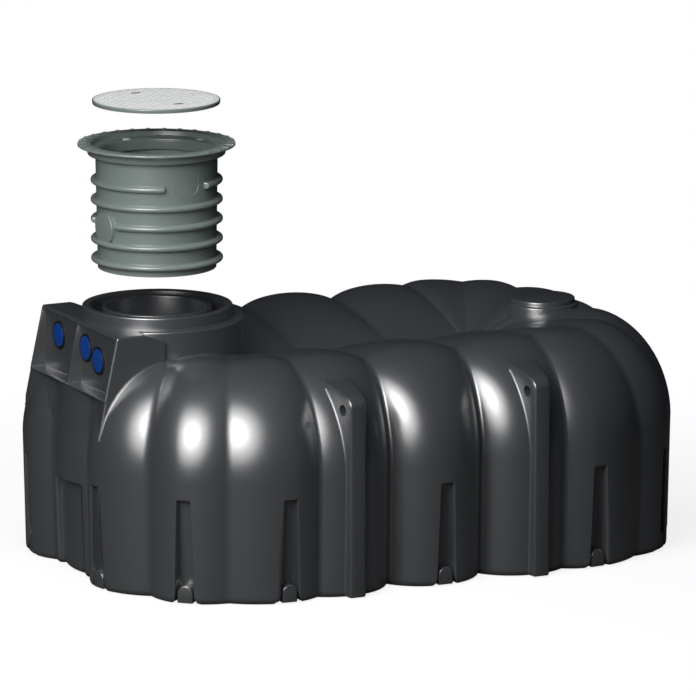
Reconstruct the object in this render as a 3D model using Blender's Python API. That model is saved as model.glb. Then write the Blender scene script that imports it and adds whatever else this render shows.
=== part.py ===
"""Flat underground water tank with a lobed shell, an inlet block, an access shaft and its cover.

Metres, +Z up. The origin is on the ground under the middle of the tank. +X runs along the
tank to the end without the neck, and +Y runs to its far long side. The shaft and the cover
stand above the neck, taken off as they are for fitting, and slide down along +Z into it.

The moulded shell is a vault that runs round a central valley. A section of the vault is
swept straight along both long sides, and turned about a pit at each end. Its lobes come
from pulling the section in between the crests.
"""

import bpy
import bmesh
from math import acos, asin, atan2, cos, pi, radians, sin, sqrt, tan

# Overall form of the shell
HALF_LENGTH = 1.712
HALF_WIDTH = 1.205
CORNER_RADIUS = 0.88
BELT_HEIGHT = 0.655
SIDE_ROOF_HEIGHT = 1.22
END_ROOF_HEIGHT = 1.205
RIDGE_SHARE = 0.61
CENTRE_HEIGHT = 1.03
VAULT_POWER = 1.9
WALL_DRAFT = 0.012
FOOT_RADIUS = 0.035
WALL = 0.012
GAP = 0.0003
SEAT_GAP = 0.0009

# Lobes along the long sides, and the pits that the corner gores turn about
MIDDLE_BAY_EDGE = 0.27
PIT_X = 0.72
LUG_X = 0.54
LOBE_HALF_WIDTH = 0.27
LOBE_DEPTH = 0.16
LOBE_TOP_DEPTH = 0.06
PIT_DROP = 0.03
ARC_SHARE = 0.88
VALLEY_ARC = (PIT_X - LUG_X) / LOBE_HALF_WIDTH * ARC_SHARE
VALLEY_SHARE = (1 - sqrt(1 - VALLEY_ARC ** 2)) / (1 - sqrt(1 - ARC_SHARE ** 2))

# Corner gores: angle from the side direction, depth at the belt, depth at the ridge
GORE_EDGES = [
    (0.0, LOBE_DEPTH * VALLEY_SHARE, LOBE_TOP_DEPTH * VALLEY_SHARE),
    (9.0, 0.0, 0.0),
    (24.6, 0.046, 0.015),
    (36.0, 0.0, 0.0),
    (47.2, 0.080, 0.025),
    (65.5, 0.0, 0.0),
    (75.5, 0.085, 0.030),
    (90.0, 0.020, 0.0),
]
CORNER_END_ANGLE = 75.5

# Facets of the shell
BAY_STEPS = 6
GORE_STEPS = 2
INNER_RINGS = 3
OUTER_RINGS = 5
FOOT_RINGS = 2

# Upright slots in the lower wall
SLOT_TOP = 0.555
SLOT_HALF_TOP = 0.034
SLOT_HALF_FOOT = 0.050
SLOT_DEPTH = 0.075
SLOT_STEP_HEIGHT = 0.10
SLOT_STEP_DEPTH = 0.040
SLOT_STEP_SLOPE = 0.004
SLOT_ANGLES = (9.0, 36.0, 65.5)
PANEL_TOP = 0.50
PANEL_HALF_WIDTH = 0.165
PANEL_DEPTH = 0.045

# Lifting lugs on the crests of the outer bays
LUG_WIDTH = 0.090
LUG_FLARE = 0.16
LUG_FRONT_Y = 1.236
LUG_BACK_Y = 0.93
LUG_BEND_Z = 1.020
LUG_BEND_RADIUS = 0.09
LUG_TOP_Y = 0.80
LUG_TOP_Z = 1.165
LUG_ROOT_Z = 0.870
LUG_SHOULDER_Z = 1.085
LUG_EYE_RADIUS = 0.030
LUG_EYE_FROM_FRONT = 0.072
LUG_EYE_Z = 1.000
LUG_EYE_SIDES = 16
LUG_BEND_STEPS = 4

# Neck, collar and inlet block at the left end
NECK_X = -1.1265
COLLAR_RADIUS = 0.466
COLLAR_TOP = 1.343
NECK_TOP = 1.403
NECK_OUTER_RADIUS = 0.400
NECK_OUTER_BORE = 0.355
NECK_INNER_TOP = 1.394
NECK_INNER_RADIUS = 0.294
MANWAY_RADIUS = 0.265
CHANNEL_FLOOR = 1.250
NECK_LAP = 0.05
OPENING_DROP = 0.205
BLOCK_NEAR_Y = -0.475
BLOCK_FAR_Y = 0.515
BLOCK_BACK_X = -1.300
BLOCK_FACE_TOP_X = -1.570
BLOCK_FACE_SILL_X = -1.620
BLOCK_FACE_FOOT_X = -1.640
BLOCK_SILL_Z = 1.010
BLOCK_SILL_STEP = 0.016
BLOCK_EDGE_RADIUS = 0.022
BLOCK_GROOVE_Y = 0.235
BLOCK_GROOVE_DEPTH = 0.035
BLOCK_FACE_STEPS = 12
COLLAR_STEPS = 28
ROUND_STEPS = 40
POCKET_DEPTH = 0.004
POCKET_TOP = 1.325
POCKET_EDGES = ((-0.452, 0.020), (0.048, 0.492))

# Pipe seals and their plugs in the block's end face
SEAL_PLACES = ((0.296, 1.216), (-0.060, 1.213), (-0.220, 1.174))
SEAL_RADIUS = 0.076
SEAL_NECK_RADIUS = 0.0695
SEAL_BORE = 0.0640
SEAL_LIP = 0.007
PLUG_RADIUS = 0.0635
PLUG_LENGTH = 0.040
PLUG_STAND = 0.002
SEAL_STEPS = 20

# Blind boss at the right end
BOSS_X = 1.1755
BOSS_RADIUS = 0.177
BOSS_FOOT_RADIUS = 0.192
BOSS_TOP = 1.236
BOSS_STEP_Z = 1.212
BOSS_ROOT_Z = 1.08
BOSS_EDGE = 0.006

# Access shaft, drawn above the neck
SHAFT_BOTTOM = 1.605
SHAFT_TOP = 2.210
SHAFT_TOP_RADIUS = 0.324
SHAFT_BOTTOM_RADIUS = 0.3145
SHAFT_WALL = 0.012
RIB_RADIUS = 0.350
RIB_HEIGHT = 0.030
RIB_LEVELS = (2.074, 1.969, 1.864, 1.759, 1.654)
SHAFT_STEPS = 40

# Round pads for pipes on the shaft: azimuth in degrees, height, radius, distance of the face
SHAFT_PADS = ((273.0, 2.045, 0.0825, 0.3275), (180.0, 1.840, 0.088, 0.337))
PAD_STEPS = 24

# Breaks in the ribs at the pads: rib counted from the top, first and last azimuth
RIB_BREAKS = ((0, 253.0, 292.0), (2, 163.0, 197.0))

# Frame on top of the shaft, which takes the cover
FRAME_RADIUS = 0.418
FRAME_TOP = 2.271
FRAME_THICKNESS = 0.012
FRAME_SKIRT_RADIUS = 0.370
FRAME_RECESS_RADIUS = 0.345
FRAME_LEDGE_DROP = 0.025
FRAME_OPENING_RADIUS = 0.289

# Cover, drawn above the frame
COVER_RADIUS = 0.340
COVER_TOP = 2.505
COVER_THICKNESS = 0.023
COVER_RIM_WIDTH = 0.012
COVER_PLATE_THICKNESS = 0.014
COVER_PLATE_DROP = 0.0005
COVER_EDGE = 0.003

BLACK = (0.025, 0.026, 0.027)
BLUE = (0.004, 0.050, 0.275)
RUBBER_BLACK = (0.010, 0.010, 0.010)
SHAFT_GREY = (0.205, 0.253, 0.227)
COVER_GREY = (0.565, 0.565, 0.560)

PART = bpy.context.scene.collection


def clear_scene():
    """Remove whatever the opened scene holds."""
    for item in list(bpy.data.objects):
        bpy.data.objects.remove(item, do_unlink=True)


def finish(item, colour, roughness):
    """Give an object its own plastic or rubber material."""
    material = bpy.data.materials.new(item.name + "_finish")
    material.use_nodes = True
    shader = material.node_tree.nodes["Principled BSDF"]
    shader.inputs["Base Color"].default_value = (*colour, 1.0)
    shader.inputs["Roughness"].default_value = roughness
    item.data.materials.clear()
    item.data.materials.append(material)


def solid(name, points, faces, split=False):
    """Make a closed object from points and faces, with its faces turned out.

    Warped faces that must match those of another solid are split on their short diagonal.
    """
    bm = bmesh.new()
    corners = [bm.verts.new(point) for point in points]
    for face in faces:
        loop = []
        for index in face:
            if corners[index] not in loop:
                loop.append(corners[index])
        if len(loop) > 2:
            bm.faces.new(loop)
    bmesh.ops.remove_doubles(bm, verts=bm.verts, dist=1e-6)
    bmesh.ops.dissolve_degenerate(bm, dist=1e-7, edges=bm.edges)
    if split:
        quads = [face for face in bm.faces if len(face.verts) == 4]
        bmesh.ops.triangulate(bm, faces=quads, quad_method="SHORT_EDGE")
    bmesh.ops.recalc_face_normals(bm, faces=bm.faces)
    mesh = bpy.data.meshes.new(name)
    bm.to_mesh(mesh)
    bm.free()
    item = bpy.data.objects.new(name, mesh)
    PART.objects.link(item)
    return item


def boolean(item, other, operation):
    """Join or cut an object with another one, and drop the other one."""
    modifier = item.modifiers.new(operation.lower(), "BOOLEAN")
    modifier.solver = "EXACT"
    modifier.operation = operation
    modifier.object = other
    graph = bpy.context.evaluated_depsgraph_get()
    mesh = bpy.data.meshes.new_from_object(item.evaluated_get(graph))
    item.modifiers.remove(modifier)
    bm = bmesh.new()
    bm.from_mesh(mesh)
    bmesh.ops.remove_doubles(bm, verts=bm.verts, dist=2e-6)
    bmesh.ops.dissolve_degenerate(bm, dist=1e-6, edges=bm.edges)
    bm.to_mesh(mesh)
    bm.free()
    item.data = mesh
    bpy.data.objects.remove(other, do_unlink=True)
    return item


def shade(item, angle=40.0):
    """Shade the round faces smooth and keep the edges sharp."""
    item.data.shade_smooth()
    item.data.set_sharp_from_angle(angle=radians(angle))


def loft(name, rings, closed_ends=True):
    """Skin rings of the same number of points, with a flat face over each end."""
    count = len(rings[0])
    points = [point for ring in rings for point in ring]
    faces = []
    for level in range(len(rings) - 1):
        for step in range(count):
            after = (step + 1) % count
            low = level * count
            faces.append((low + step, low + after, low + count + after, low + count + step))
    if closed_ends:
        faces.append(tuple(range(count)))
        faces.append(tuple(range(len(points) - count, len(points))))
    return solid(name, points, faces)


def turned(name, profile, x, y, steps=ROUND_STEPS):
    """Turn a closed profile of (radius, height) about an upright axis."""
    points = []
    for radius, height in profile:
        for step in range(steps):
            angle = 2 * pi * step / steps
            points.append((x + radius * cos(angle), y + radius * sin(angle), height))
    faces = []
    for level in range(len(profile)):
        low = level * steps
        high = (level + 1) % len(profile) * steps
        for step in range(steps):
            after = (step + 1) % steps
            faces.append((low + step, low + after, high + after, high + step))
    return solid(name, points, faces)


def drum(name, radius, bottom, top, x, y, steps=ROUND_STEPS):
    """An upright round bar."""
    rings = []
    for height in (bottom, top):
        ring = []
        for step in range(steps):
            angle = 2 * pi * step / steps
            ring.append((x + radius * cos(angle), y + radius * sin(angle), height))
        rings.append(ring)
    return loft(name, rings)


def corner_reach(angle):
    """Distance from a pit to the outline of the shell, at an angle from the side direction."""
    across = HALF_LENGTH - PIT_X
    arc_x = HALF_LENGTH - CORNER_RADIUS - PIT_X
    arc_y = HALF_WIDTH - CORNER_RADIUS
    if tan(angle) * HALF_WIDTH <= arc_x:
        return HALF_WIDTH / cos(angle)
    if cos(angle) * across <= arc_y * sin(angle):
        return across / sin(angle)
    along = arc_x * sin(angle) + arc_y * cos(angle)
    return along + sqrt(along ** 2 - arc_x ** 2 - arc_y ** 2 + CORNER_RADIUS ** 2)


def bay_stations(low, high, side):
    """Sections along a straight bay, spaced so that its lobe is an arc in plan."""
    crest = LUG_X * ((low + high > 0) - (low + high < 0))
    first, last = [asin((x - crest) / LOBE_HALF_WIDTH * ARC_SHARE) for x in (low, high)]
    deepest = 1 - cos(asin(ARC_SHARE))
    stations = []
    for step in range(BAY_STEPS + 1):
        angle = first + (last - first) * step / BAY_STEPS
        share = (1 - cos(angle)) / deepest
        x = crest + LOBE_HALF_WIDTH * sin(angle) / ARC_SHARE
        stations.append({
            "origin": (x, side * GAP / 2),
            "toward": (0.0, side),
            "reach": HALF_WIDTH,
            "side": LOBE_DEPTH * share,
            "top": LOBE_TOP_DEPTH * share,
            "roof": SIDE_ROOF_HEIGHT,
            "centre": CENTRE_HEIGHT - PIT_DROP * (x / PIT_X) ** 2,
        })
    return stations


def gore_depths(angle):
    """Depth of the creases at the belt and at the ridge, at an angle in degrees."""
    for first, second in zip(GORE_EDGES, GORE_EDGES[1:]):
        if first[0] <= angle <= second[0]:
            crest, crease = (first, second) if first[1] < second[1] else (second, first)
            share = abs(angle - crest[0]) / abs(crease[0] - crest[0])
            share = share ** 2
            side = crest[1] + (crease[1] - crest[1]) * share
            top = crest[2] + (crease[2] - crest[2]) * share
            return side, top
    return GORE_EDGES[-1][1:]


def gore_angles(low, high):
    """Angles of the sections between two angles, in degrees."""
    angles = []
    for first, second in zip(GORE_EDGES, GORE_EDGES[1:]):
        if low - 1e-6 <= first[0] and second[0] <= high + 1e-6:
            for step in range(GORE_STEPS):
                angles.append(first[0] + (second[0] - first[0]) * step / GORE_STEPS)
    return angles + [high]


def gore_stations(angles, end, side, shift=None):
    """Sections turned about a pit. end and side are 1 or -1 along X and Y."""
    stations = []
    middle = radians((angles[0] + angles[-1]) / 2)
    half = radians((angles[-1] - angles[0]) / 2)
    apart = GAP / 2 / sin(half) if shift is None else shift
    x = end * (PIT_X + apart * sin(middle))
    y = side * apart * cos(middle)
    for angle in angles:
        folded = min(angle, 180.0 - angle)
        turn = radians(angle)
        depth_side, depth_top = gore_depths(folded)
        blend = sin(radians(folded)) ** 2
        stations.append({
            "origin": (x, y),
            "toward": (end * sin(turn), side * cos(turn)),
            "reach": corner_reach(radians(folded)),
            "side": depth_side,
            "top": depth_top,
            "roof": SIDE_ROOF_HEIGHT + (END_ROOF_HEIGHT - SIDE_ROOF_HEIGHT) * blend,
            "centre": CENTRE_HEIGHT - PIT_DROP,
        })
    return stations


def placed(station, distance, height):
    """A point of a section, at a distance from its origin."""
    x = station["origin"][0] + station["toward"][0] * distance
    y = station["origin"][1] + station["toward"][1] * distance
    return (x, y, height)


def roof_column(station, inset, lift=0.0):
    """Points over the vault, from the central valley to the belt, inset by a thickness."""
    ridge = RIDGE_SHARE * station["reach"]
    outward = station["reach"] - ridge - station["side"] - inset
    crest = station["roof"] - station["top"] - inset
    centre = station["centre"] - inset
    power = 2 / VAULT_POWER
    column = []
    for step in range(INNER_RINGS):
        share = 1 - step / INNER_RINGS
        height = crest - (crest - centre) * share ** VAULT_POWER
        column.append(placed(station, ridge * (1 - share), height + lift))
    for step in range(OUTER_RINGS + 1):
        turn = pi / 2 * step / OUTER_RINGS
        across = sin(turn) ** power * outward
        height = (crest - BELT_HEIGHT) * max(cos(turn), 0.0) ** power
        column.append(placed(station, ridge + across, BELT_HEIGHT + lift + height))
    return column


def wall_reach(station, inset, height):
    """Distance of the drafted lower wall at a height above the foot's curve."""
    drop = (BELT_HEIGHT - height) / (BELT_HEIGHT - FOOT_RADIUS)
    return station["reach"] - station["side"] - inset - WALL_DRAFT * drop


def wall_column(station, inset, top, bottom):
    """Two points of the lower wall."""
    return [
        placed(station, wall_reach(station, inset, top), top),
        placed(station, wall_reach(station, inset, bottom), bottom),
    ]


def foot_column(station, inset, top):
    """Points round the foot's curve, down to the underside."""
    base = wall_reach(station, inset, FOOT_RADIUS)
    radius = FOOT_RADIUS - inset
    column = [placed(station, base, top)]
    for step in range(1, FOOT_RINGS + 1):
        turn = pi / 2 * step / FOOT_RINGS
        height = FOOT_RADIUS - radius * sin(turn)
        column.append(placed(station, base - radius * (1 - cos(turn)), height))
    return column


def sheet(name, outside, inside):
    """A piece of shell between two grids of points, closed along its four edges."""
    across = len(outside)
    down = len(outside[0])
    points = [p for column in outside for p in column] + [p for column in inside for p in column]
    back = across * down
    faces = []
    for i in range(across - 1):
        for j in range(down - 1):
            near = (i * down + j, (i + 1) * down + j, (i + 1) * down + j + 1, i * down + j + 1)
            faces.append(near)
            faces.append(tuple(back + index for index in reversed(near)))
    for i in range(across - 1):
        for j in (0, down - 1):
            first = i * down + j
            second = (i + 1) * down + j
            faces.append((first, second, back + second, back + first))
    for j in range(down - 1):
        for i in (0, across - 1):
            first = i * down + j
            second = i * down + j + 1
            faces.append((first, second, back + second, back + first))
    return solid(name, points, faces, split=True)


def trim(stations, gap):
    """Move the first and last sections of a straight bay in by half a gap."""
    for index, sign in ((0, 1), (-1, -1)):
        x, y = stations[index]["origin"]
        stations[index]["origin"] = (x + sign * gap / 2, y)
    return stations


def shell_pieces():
    """The sections of every piece of the shell's walls and roofs, by name."""
    pieces = {}
    corner = gore_angles(0.0, CORNER_END_ANGLE)
    half_end = gore_angles(CORNER_END_ANGLE, 90.0)
    whole_end = half_end + [180.0 - angle for angle in reversed(half_end[:-1])]
    bays = (
        (-PIT_X, -MIDDLE_BAY_EDGE, "left_bay"),
        (-MIDDLE_BAY_EDGE, MIDDLE_BAY_EDGE, "middle_bay"),
        (MIDDLE_BAY_EDGE, PIT_X, "right_bay"),
    )
    for side, side_name in ((-1, "near"), (1, "far")):
        for low, high, place in bays:
            pieces[side_name + "_" + place] = trim(bay_stations(low, high, side), GAP)
        for end, place in ((-1, "left_corner"), (1, "right_corner")):
            pieces[side_name + "_" + place] = gore_stations(corner, end, side)
    for end, place in ((-1, "left_end"), (1, "right_end")):
        pieces[place] = gore_stations(whole_end, end, -1)
    return pieces


def whole_outline():
    """All sections once round the shell, with no gaps, for solids of the whole form."""
    corner = gore_angles(0.0, 90.0)
    half_turn = corner + [180.0 - angle for angle in reversed(corner[:-1])]
    stations = []
    edges = (-PIT_X, -MIDDLE_BAY_EDGE, MIDDLE_BAY_EDGE, PIT_X)
    bays = list(zip(edges, edges[1:]))
    for low, high in bays:
        stations += bay_stations(low, high, -1)[:-1]
    stations += gore_stations(half_turn, 1, -1, 0.0)[:-1]
    for low, high in reversed(bays):
        stations += bay_stations(low, high, 1)[:0:-1]
    stations += gore_stations(half_turn[::-1], -1, -1, 0.0)[:-1]
    for station in stations:
        x, y = station["origin"]
        station["origin"] = (x, 0.0)
    return stations


def whole_form(name, inset):
    """The filled form of the shell, inset or, with a minus sign, grown."""
    columns = []
    for station in whole_outline():
        column = roof_column(station, inset)
        column += foot_column(station, inset, FOOT_RADIUS)
        columns.append(column)
    count = len(columns)
    down = len(columns[0])
    points = [point for column in columns for point in column]
    faces = []
    for i in range(count):
        after = (i + 1) % count
        for j in range(down - 1):
            faces.append((i * down + j, after * down + j, after * down + j + 1, i * down + j + 1))
    faces.append(tuple(i * down + down - 1 for i in range(count)))
    return solid(name, points, faces, split=True)


def slot_places():
    """Place, outward direction and kind of each slot round the shell."""
    places = []
    for side in (-1, 1):
        places.append(((0.0, side * HALF_WIDTH), (0.0, side), "slot"))
        for end in (-1, 1):
            for angle in SLOT_ANGLES:
                turn = radians(angle)
                reach = corner_reach(turn)
                x = PIT_X + reach * sin(turn)
                y = reach * cos(turn)
                arc_x = x - (HALF_LENGTH - CORNER_RADIUS)
                arc_y = y - (HALF_WIDTH - CORNER_RADIUS)
                lean = atan2(max(arc_x, 0.0), max(arc_y, 0.0))
                places.append(((end * x, side * y), (end * sin(lean), side * cos(lean)), "slot"))
    recess = HALF_LENGTH - GORE_EDGES[-1][1]
    for end in (-1, 1):
        places.append(((end * recess, 0.0), (end, 0.0), "panel"))
    return places


def slot_solid(name, place, grow):
    """The space of one slot, or with grow, the slot and the wall round it."""
    (x, y), (out_x, out_y), kind = place
    if kind == "slot":
        top, half_top, half_foot, depth = SLOT_TOP, SLOT_HALF_TOP, SLOT_HALF_FOOT, SLOT_DEPTH
        foot_depth = SLOT_STEP_DEPTH
    else:
        top, half_top, half_foot, depth = PANEL_TOP, PANEL_HALF_WIDTH, PANEL_HALF_WIDTH, PANEL_DEPTH
        foot_depth = depth
    slope = WALL_DRAFT / (BELT_HEIGHT - FOOT_RADIUS)
    front = 0.02 if grow == 0 else -WALL / 2
    low = -0.01 if grow == 0 else 0.0
    step = SLOT_STEP_HEIGHT + grow
    levels = [
        (low, foot_depth),
        (step - SLOT_STEP_SLOPE, foot_depth),
        (step + SLOT_STEP_SLOPE, depth),
        (top + grow, depth),
    ]
    rings = []
    for height, back in levels:
        lean = slope * (BELT_HEIGHT - height)
        half = half_top + (half_foot - half_top) * (top - height) / top + grow
        corners = ((-half, front), (half, front), (half, -back - grow), (-half, -back - grow))
        ring = []
        for across, inward in corners:
            ahead = inward - lean
            point_x = x + out_x * ahead - out_y * across
            point_y = y + out_y * ahead + out_x * across
            ring.append((point_x, point_y, height))
        rings.append(ring)
    return loft(name, rings)


def near_slots(stations, places):
    """The slots whose outward direction lies within a piece's sections."""
    found = []
    for place in places:
        (x, y), _, _ = place
        best = None
        for index, station in enumerate(stations):
            ox, oy = station["origin"]
            tx, ty = station["toward"]
            ahead = (x - ox) * tx + (y - oy) * ty
            aside = abs((x - ox) * ty - (y - oy) * tx)
            if ahead > 0 and (best is None or aside < best[0]):
                best = (aside, index)
        if best and best[0] < 0.06 and 0 < best[1] < len(stations) - 1:
            found.append(place)
    return found


def cut_slots(item, places, low, high):
    """Wrap the wall round each slot between two heights, and cut the slot out."""
    for place in places:
        backing = slot_solid("backing", place, WALL)
        span = box("span", (-HALF_LENGTH, -HALF_WIDTH, low), (HALF_LENGTH, HALF_WIDTH, high))
        boolean(backing, span, "INTERSECT")
        boolean(backing, whole_form("inner_form", WALL / 4), "INTERSECT")
        boolean(item, backing, "UNION")
    for place in places:
        boolean(item, slot_solid("slot", place, 0), "DIFFERENCE")


def build_shell():
    """Floor pan, lower walls and roofs of the moulded shell."""
    made = {}
    places = slot_places()
    belt_gap = GAP / 2
    low = FOOT_RADIUS + belt_gap
    high = BELT_HEIGHT - belt_gap
    for name, stations in shell_pieces().items():
        outside = [wall_column(s, 0.0, high, low) for s in stations]
        inside = [wall_column(s, WALL, high, low) for s in stations]
        wall = sheet("wall_" + name, outside, inside)
        cut_slots(wall, near_slots(stations, places), low, high)
        made[wall.name] = wall
        outside = [roof_column(s, 0.0, belt_gap) for s in stations]
        inside = [roof_column(s, WALL, belt_gap) for s in stations]
        roof = sheet("roof_" + name, outside, inside)
        made[roof.name] = roof
    made["floor_pan"] = build_floor(places)
    return made


def build_floor(places):
    """The pan that the tank stands on, with the foot's curve round it."""
    stations = whole_outline()
    top = FOOT_RADIUS - GAP / 2
    outside = [foot_column(s, 0.0, top) for s in stations]
    inside = [foot_column(s, WALL, top) for s in stations]
    count = len(stations)
    down = len(outside[0])
    points = [p for column in outside for p in column] + [p for column in inside for p in column]
    back = count * down
    faces = []
    for i in range(count):
        after = (i + 1) % count
        for j in range(down - 1):
            near = (i * down + j, after * down + j, after * down + j + 1, i * down + j + 1)
            faces.append(near)
            faces.append(tuple(back + index for index in near))
        faces.append((i * down, after * down, back + after * down, back + i * down))
    faces.append(tuple(i * down + down - 1 for i in range(count)))
    faces.append(tuple(back + i * down + down - 1 for i in range(count)))
    pan = solid("floor_pan", points, faces)
    cut_slots(pan, places, 0.0, top)
    return pan


def block_face_x(y, share, base):
    """X of the block's end face at a place across it, scalloped below the sill."""
    if abs(y) < BLOCK_GROOVE_Y:
        bow = (y / BLOCK_GROOVE_Y) ** 2
    else:
        outer = max(BLOCK_FAR_Y, -BLOCK_NEAR_Y) + BLOCK_EDGE_RADIUS
        bow = ((outer - abs(y)) / (outer - BLOCK_GROOVE_Y)) ** 2
    return base + BLOCK_GROOVE_DEPTH * share * bow


def neck_outline(inset, front_inset, share, base, height):
    """The plan outline of the block and the round collar behind it, at one height."""
    far = BLOCK_FAR_Y - inset
    near = BLOCK_NEAR_Y + inset
    back = BLOCK_BACK_X - inset
    radius = COLLAR_RADIUS - inset
    ring = []
    for step in range(BLOCK_FACE_STEPS + 1):
        y = far + (near - far) * step / BLOCK_FACE_STEPS
        x = block_face_x(y, share, base) + front_inset
        if step in (0, BLOCK_FACE_STEPS):
            x += BLOCK_EDGE_RADIUS
        ring.append((x, y, height))
    ring.append((back, near, height))
    start = acos((back - NECK_X) / radius)
    for step in range(COLLAR_STEPS + 1):
        angle = -start + 2 * start * step / COLLAR_STEPS
        ring.append((NECK_X + radius * cos(angle), radius * sin(angle), height))
    ring.append((back, far, height))
    return ring


def neck_form(name, inset, front_inset, bottom, top, edge=BLOCK_EDGE_RADIUS):
    """The block and the collar as one filled form, from inside the vault to the flat top."""
    under_sill = BLOCK_FACE_SILL_X - BLOCK_SILL_STEP / 4
    levels = [
        (bottom, BLOCK_FACE_FOOT_X, 1.0, 0.0),
        (BLOCK_SILL_Z - BLOCK_SILL_STEP, under_sill, 1.0, 0.0),
        (BLOCK_SILL_Z, BLOCK_FACE_SILL_X, 0.0, 0.0),
        (top - edge, BLOCK_FACE_TOP_X, 0.0, 0.0),
        (top - edge * 0.3, BLOCK_FACE_TOP_X, 0.0, edge * 0.3),
        (top, BLOCK_FACE_TOP_X, 0.0, edge),
    ]
    rings = []
    for height, base, share, rounding in levels:
        rings.append(neck_outline(inset + rounding, front_inset + rounding, share, base, height))
    return loft(name, rings)


def bar_x(name, radius, low, high, y, z, steps=SEAL_STEPS):
    """A round bar along X."""
    rings = []
    for x in (low, high):
        ring = []
        for step in range(steps):
            angle = 2 * pi * step / steps
            ring.append((x, y + radius * cos(angle), z + radius * sin(angle)))
        rings.append(ring)
    return loft(name, rings)


def box(name, low, high):
    """A plain block between two corners."""
    rings = []
    for z in (low[2], high[2]):
        near = [(low[0], low[1], z), (high[0], low[1], z)]
        far = [(high[0], high[1], z), (low[0], high[1], z)]
        rings.append(near + far)
    return loft(name, rings)


def build_neck(shell):
    """Collar with the inlet block, the neck's two rings, and the openings under them."""
    bottom = BELT_HEIGHT - NECK_LAP
    ahead = BLOCK_FACE_SILL_X - NECK_LAP
    block = neck_form("inlet_collar", 0.0, 0.0, bottom, COLLAR_TOP)
    face = BLOCK_FACE_TOP_X + POCKET_DEPTH
    for low, high in POCKET_EDGES:
        pocket = box("pocket", (ahead, low, BLOCK_SILL_Z + POCKET_DEPTH), (face, high, POCKET_TOP))
        boolean(block, pocket, "DIFFERENCE")
    inner = neck_form("neck_space", WALL, POCKET_DEPTH + WALL, bottom - NECK_LAP, COLLAR_TOP - WALL)
    boolean(block, inner, "DIFFERENCE")
    hole = drum("neck_hole", NECK_OUTER_RADIUS + GAP, CHANNEL_FLOOR, NECK_TOP, NECK_X, 0.0)
    boolean(block, hole, "DIFFERENCE")
    for y, z in SEAL_PLACES:
        inside = BLOCK_FACE_TOP_X + NECK_LAP
        hole = bar_x("seal_hole", SEAL_NECK_RADIUS + GAP, ahead, inside, y, z)
        boolean(block, hole, "DIFFERENCE")
    boolean(block, whole_form("shell_form", -SEAT_GAP), "DIFFERENCE")
    for name in ("roof_left_end", "roof_near_left_corner", "roof_far_left_corner",
                 "roof_near_left_bay", "roof_far_left_bay"):
        low = BLOCK_SILL_Z - OPENING_DROP
        opening = neck_form("opening", WALL, POCKET_DEPTH + WALL, low, COLLAR_TOP - WALL)
        boolean(shell[name], opening, "DIFFERENCE")
    outer = turned("neck_ring", [
        (NECK_OUTER_RADIUS, CHANNEL_FLOOR - WALL),
        (NECK_OUTER_RADIUS, NECK_TOP),
        (NECK_OUTER_BORE, NECK_TOP),
        (NECK_OUTER_BORE, CHANNEL_FLOOR - WALL),
    ], NECK_X, 0.0)
    inner = turned("manway_ring", [
        (NECK_OUTER_BORE - GAP, CHANNEL_FLOOR - WALL),
        (NECK_OUTER_BORE - GAP, CHANNEL_FLOOR),
        (NECK_INNER_RADIUS, CHANNEL_FLOOR),
        (NECK_INNER_RADIUS, NECK_INNER_TOP),
        (MANWAY_RADIUS, NECK_INNER_TOP),
        (MANWAY_RADIUS, CHANNEL_FLOOR - WALL),
    ], NECK_X, 0.0)
    return [block, outer, inner]


def build_seals():
    """Three rubber pipe seals in the block and the plugs that close them."""
    made = []
    face = BLOCK_FACE_TOP_X + POCKET_DEPTH
    back = face + WALL
    lip = face - GAP - SEAL_LIP
    front = lip - PLUG_STAND
    for number, (y, z) in enumerate(SEAL_PLACES, 1):
        seal = bar_x("pipe_seal_%d" % number, SEAL_RADIUS, lip, face - GAP, y, z)
        boolean(seal, bar_x("seal_neck", SEAL_NECK_RADIUS, lip + SEAL_LIP / 2, back, y, z), "UNION")
        bore = bar_x("seal_bore", SEAL_BORE, face - PLUG_LENGTH, back + PLUG_LENGTH, y, z)
        boolean(seal, bore, "DIFFERENCE")
        plug = bar_x("seal_plug_%d" % number, PLUG_RADIUS, front, front + PLUG_LENGTH, y, z)
        made += [(seal, RUBBER_BLACK), (plug, BLUE)]
    return made


def build_boss():
    """The blind boss over the right end's lobe."""
    profile = [
        (BOSS_FOOT_RADIUS, BOSS_ROOT_Z),
        (BOSS_FOOT_RADIUS, BOSS_STEP_Z),
        (BOSS_RADIUS, BOSS_STEP_Z + BOSS_EDGE),
        (BOSS_RADIUS, BOSS_TOP - BOSS_EDGE),
        (BOSS_RADIUS - BOSS_EDGE, BOSS_TOP),
    ]
    rings = []
    for radius, height in profile:
        ring = []
        for step in range(ROUND_STEPS):
            angle = 2 * pi * step / ROUND_STEPS
            ring.append((BOSS_X + radius * cos(angle), radius * sin(angle), height))
        rings.append(ring)
    boss = loft("boss_cap", rings)
    boolean(boss, whole_form("shell_form", -SEAT_GAP), "DIFFERENCE")
    return boss


def lug_outline():
    """The side view of a lug as (distance from the middle, height)."""
    outline = [(LUG_BACK_Y, 0.0), (LUG_FRONT_Y, 0.0)]
    slope = atan2(LUG_TOP_Z - LUG_SHOULDER_Z, LUG_FRONT_Y - LUG_BEND_RADIUS - LUG_TOP_Y)
    bend_y = LUG_FRONT_Y - LUG_BEND_RADIUS
    for step in range(LUG_BEND_STEPS + 1):
        turn = (pi / 2 - slope) * step / LUG_BEND_STEPS
        y = bend_y + LUG_BEND_RADIUS * cos(turn)
        outline.append((y, LUG_BEND_Z + LUG_BEND_RADIUS * sin(turn)))
    outline.append((LUG_TOP_Y, LUG_TOP_Z))
    outline.append((LUG_TOP_Y, LUG_ROOT_Z))
    return outline


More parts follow.
